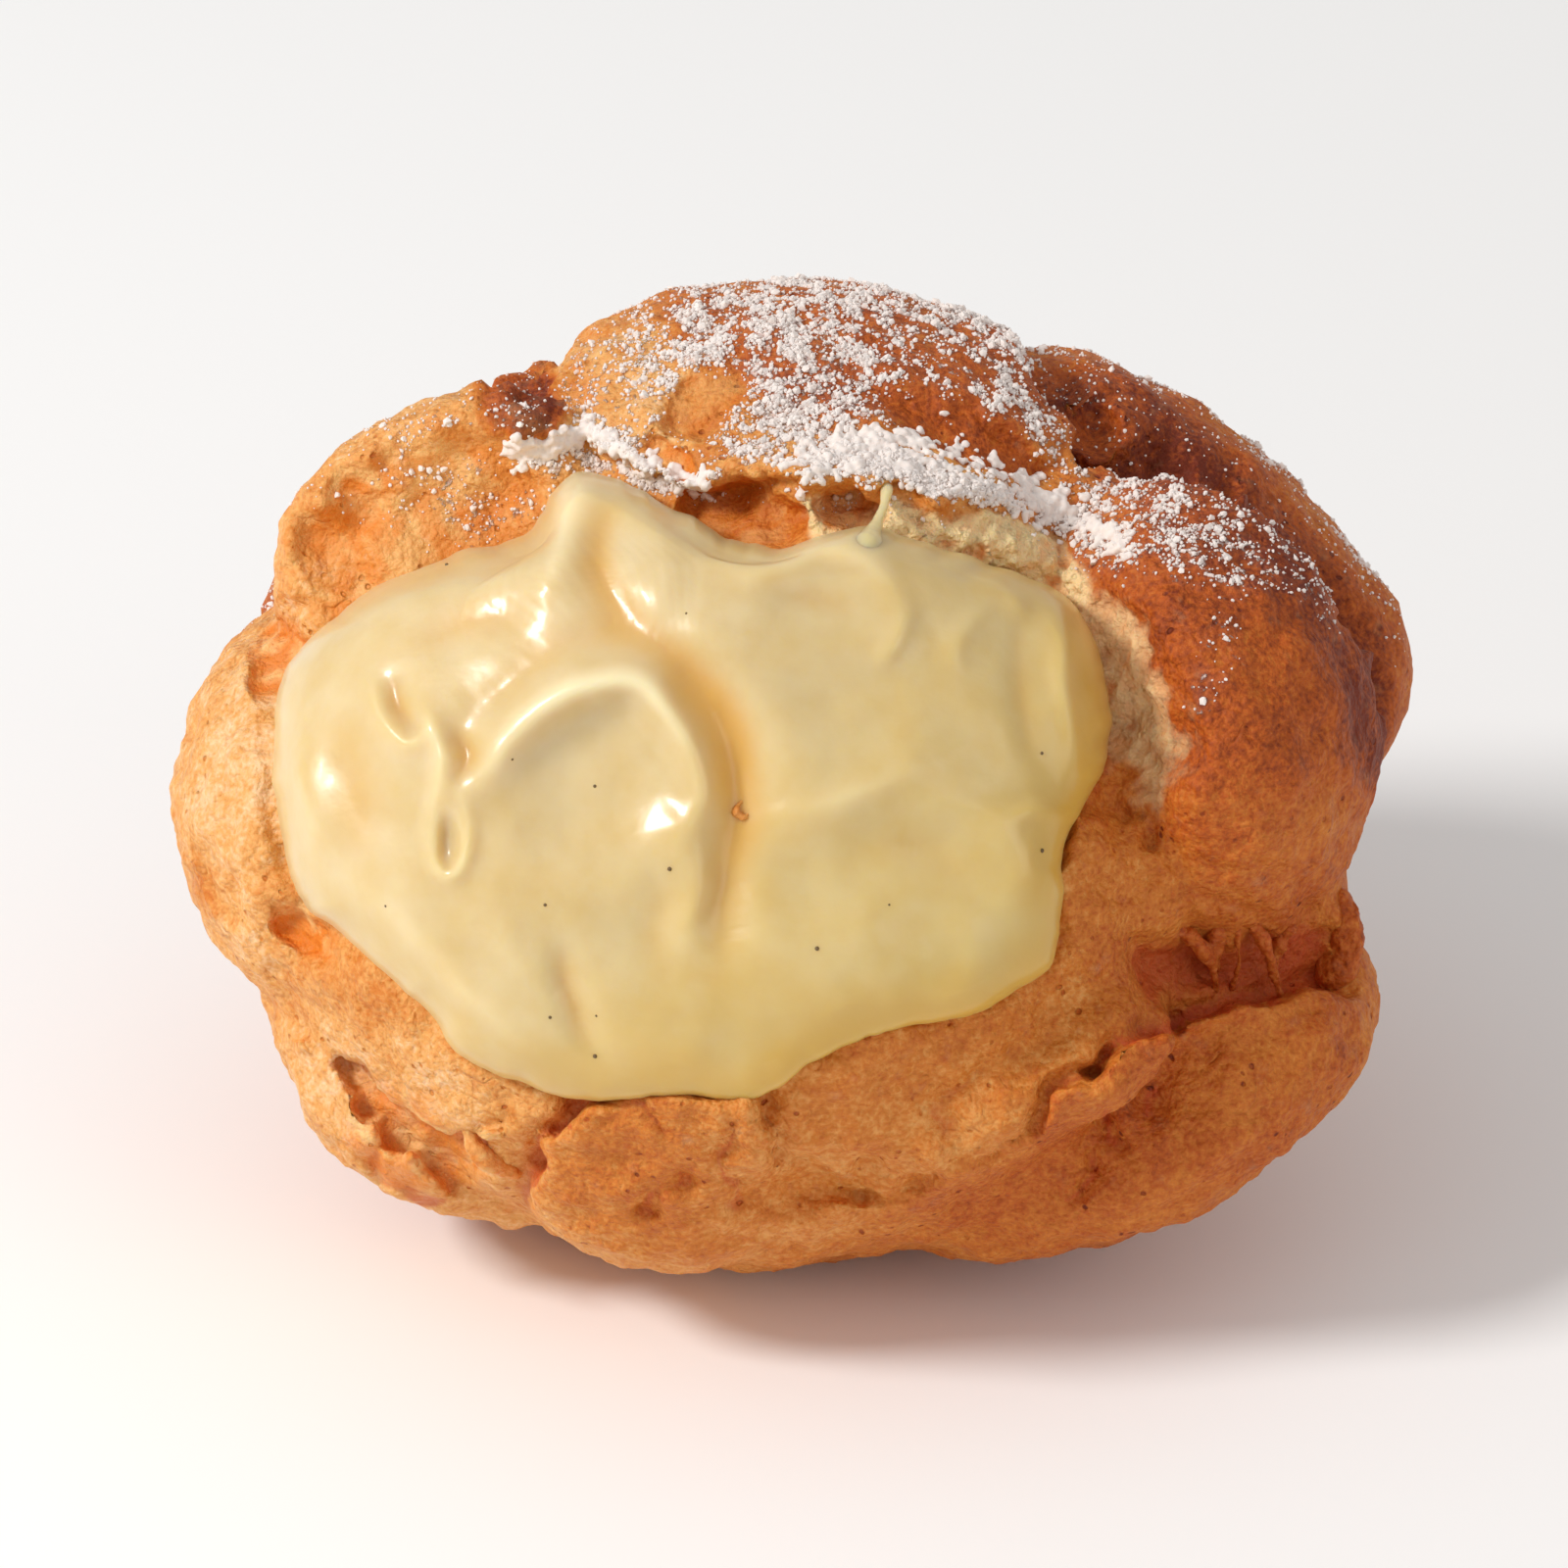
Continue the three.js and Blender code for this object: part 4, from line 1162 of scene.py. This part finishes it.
def scatter(mesh, chance, count):
    """Random places on a mesh, likelier where its painted chance is high, with the surface's direction."""
    mesh.calc_loop_triangles()
    corners = np.zeros(len(mesh.loop_triangles) * 3, int)
    mesh.loop_triangles.foreach_get("vertices", corners)
    corners = corners.reshape(-1, 3)
    places = vertex_array(mesh)
    a, b, c = (places[corners[:, i]] for i in range(3))
    areas = np.linalg.norm(np.cross(b - a, c - a), axis=1)
    weights = areas * chance[corners].mean(axis=1)
    chosen = rng.choice(len(corners), count, p=weights / weights.sum())
    first, second = rng.random(count), rng.random(count)
    flip = first + second > 1
    first, second = np.where(flip, 1 - first, first), np.where(flip, 1 - second, second)
    spots = a[chosen] + (b - a)[chosen] * first[:, None] + (c - a)[chosen] * second[:, None]
    facing = np.cross(b - a, c - a)[chosen]
    return spots, facing / np.linalg.norm(facing, axis=1)[:, None]


def grain_piece(name, spots, sizes, subdivisions, lumpiness):
    """One mesh of many lumpy grains, each the same small ball squashed and turned its own way."""
    work = bmesh.new()
    bmesh.ops.create_icosphere(work, subdivisions=subdivisions, radius=0.5)
    single = bpy.data.meshes.new(name)
    work.to_mesh(single)
    work.free()
    shape = vertex_array(single)
    faces = np.zeros(len(single.polygons) * 3, int)
    single.polygons.foreach_get("vertices", faces)
    bpy.data.meshes.remove(single)
    count = len(spots)
    lumps = 1 + lumpiness * (rng.random((count, len(shape))) - 0.5)
    turned, _ = np.linalg.qr(rng.normal(size=(count, 3, 3)))
    turned *= np.sign(np.linalg.det(turned))[:, None, None]
    stretch = sizes[:, None] * rng.uniform(0.7, 1.2, (count, 3))
    grains = np.einsum("nvi,nij->nvj", shape[None] * lumps[:, :, None] * stretch[:, None, :], turned)
    grains += spots[:, None, :]
    mesh = bpy.data.meshes.new(name)
    all_faces = (faces.reshape(1, -1, 3) + np.arange(count)[:, None, None] * len(shape)).reshape(-1, 3)
    mesh.from_pydata(grains.reshape(-1, 3), [], all_faces)
    piece = bpy.data.objects.new(name, mesh)
    scene.collection.objects.link(piece)
    return piece


sugar_material, base, sockets = new_material("icing_sugar")
feed(sockets, "Base Color", base.cloud(0.6, 3.0).mix(dye(230, 214, 206), dye(248, 240, 234)))
sockets["Roughness"].default_value = 0.9
sockets["Subsurface Weight"].default_value = 0.3
sockets["Subsurface Radius"].default_value = (1.0, 0.9, 0.8)
sockets["Subsurface Scale"].default_value = 0.4 * MM


def finish_sugar(piece):
    piece.data.materials.append(sugar_material)
    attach(piece, "root")


# Loose sugar: how much there is, how strongly it keeps to the thick places, its smallest and largest size,
# how few are large (1 for an even spread), how proud it lies and how lumpy it is.
LOOSE_SUGAR = {
    "sugar_dust": (9000, 1.0, 0.09, 0.17, 1, 0.2, 0.4),
    "sugar_grains": (8400, 1.4, 0.15, 0.3, 1, 0.2, 0.5),
    "sugar_clumps": (5000, 2.4, 0.26, 0.62, 2, 0.12, 0.8),
}
thickness = np.clip(sugar_amount, 0, 1)
quick_share = 1.0
for name, (count, keeping, smallest, largest, rarity, proud, lumpiness) in LOOSE_SUGAR.items():
    spots, facing = scatter(shell_mesh, thickness**keeping, int(count * quick_share))
    sizes = (smallest + (largest - smallest) * rng.random(len(spots)) ** rarity) * MM
    finish_sugar(grain_piece(name, spots + facing * sizes[:, None] * proud, sizes, 1, lumpiness))

# Drifts: line and how wide the drift is. Overlapping lumps are fused into one crumbly ridge.
DRIFTS = {
    "left_rim": (
        [(-19.2, 22.4), (-16.8, 22.3), (-14.2, 23.4), (-11.5, 21.9), (-8.4, 20.3), (-6.0, 19.8)], 0.85,
    ),
    "right_rim": ([(0.6, 20.6), (4.0, 22.3), (8.0, 21.7), (12.7, 20.5), (17.2, 18.2)], 1.7),
    "shoulder": ([(16.6, 18.6), (19.6, 17.4), (22.0, 15.6)], 0.9),
}
DRIFT_LUMPS = 10  # for each step of a drift's line, and each mm of its width
DRIFT_VOXEL = 0.14

drift_spots = []
for line, width in DRIFTS.values():
    line = curve_through(line)
    for _ in range(int(len(line) * DRIFT_LUMPS * width)):
        where = line[rng.integers(len(line))] + rng.normal(0, width * 0.55, 2)
        level = surface_out(shell, *where)
        if level > 0:
            drift_spots.append(ACROSS * where[0] + UP * where[1] + OUT * level)
drift_spots = np.array(drift_spots) * MM + np.array(MIDDLE)
drift_sizes = (0.32 + 0.6 * rng.random(len(drift_spots)) ** 2) * MM
sugar_drifts = grain_piece("sugar_drifts", drift_spots, drift_sizes, 2, 0.6)
apply_modifier(sugar_drifts, "REMESH", mode="VOXEL", voxel_size=DRIFT_VOXEL * MM, use_smooth_shade=True)
drift_mesh = sugar_drifts.data
on_drift = (vertex_array(drift_mesh) - np.array(MIDDLE)) / MM
on_drift += vertex_normals(drift_mesh) * (rough(on_drift, 0.45, 22) * 0.12)[:, None]
set_vertices(drift_mesh, on_drift * MM + np.array(MIDDLE))
finish_sugar(sugar_drifts)
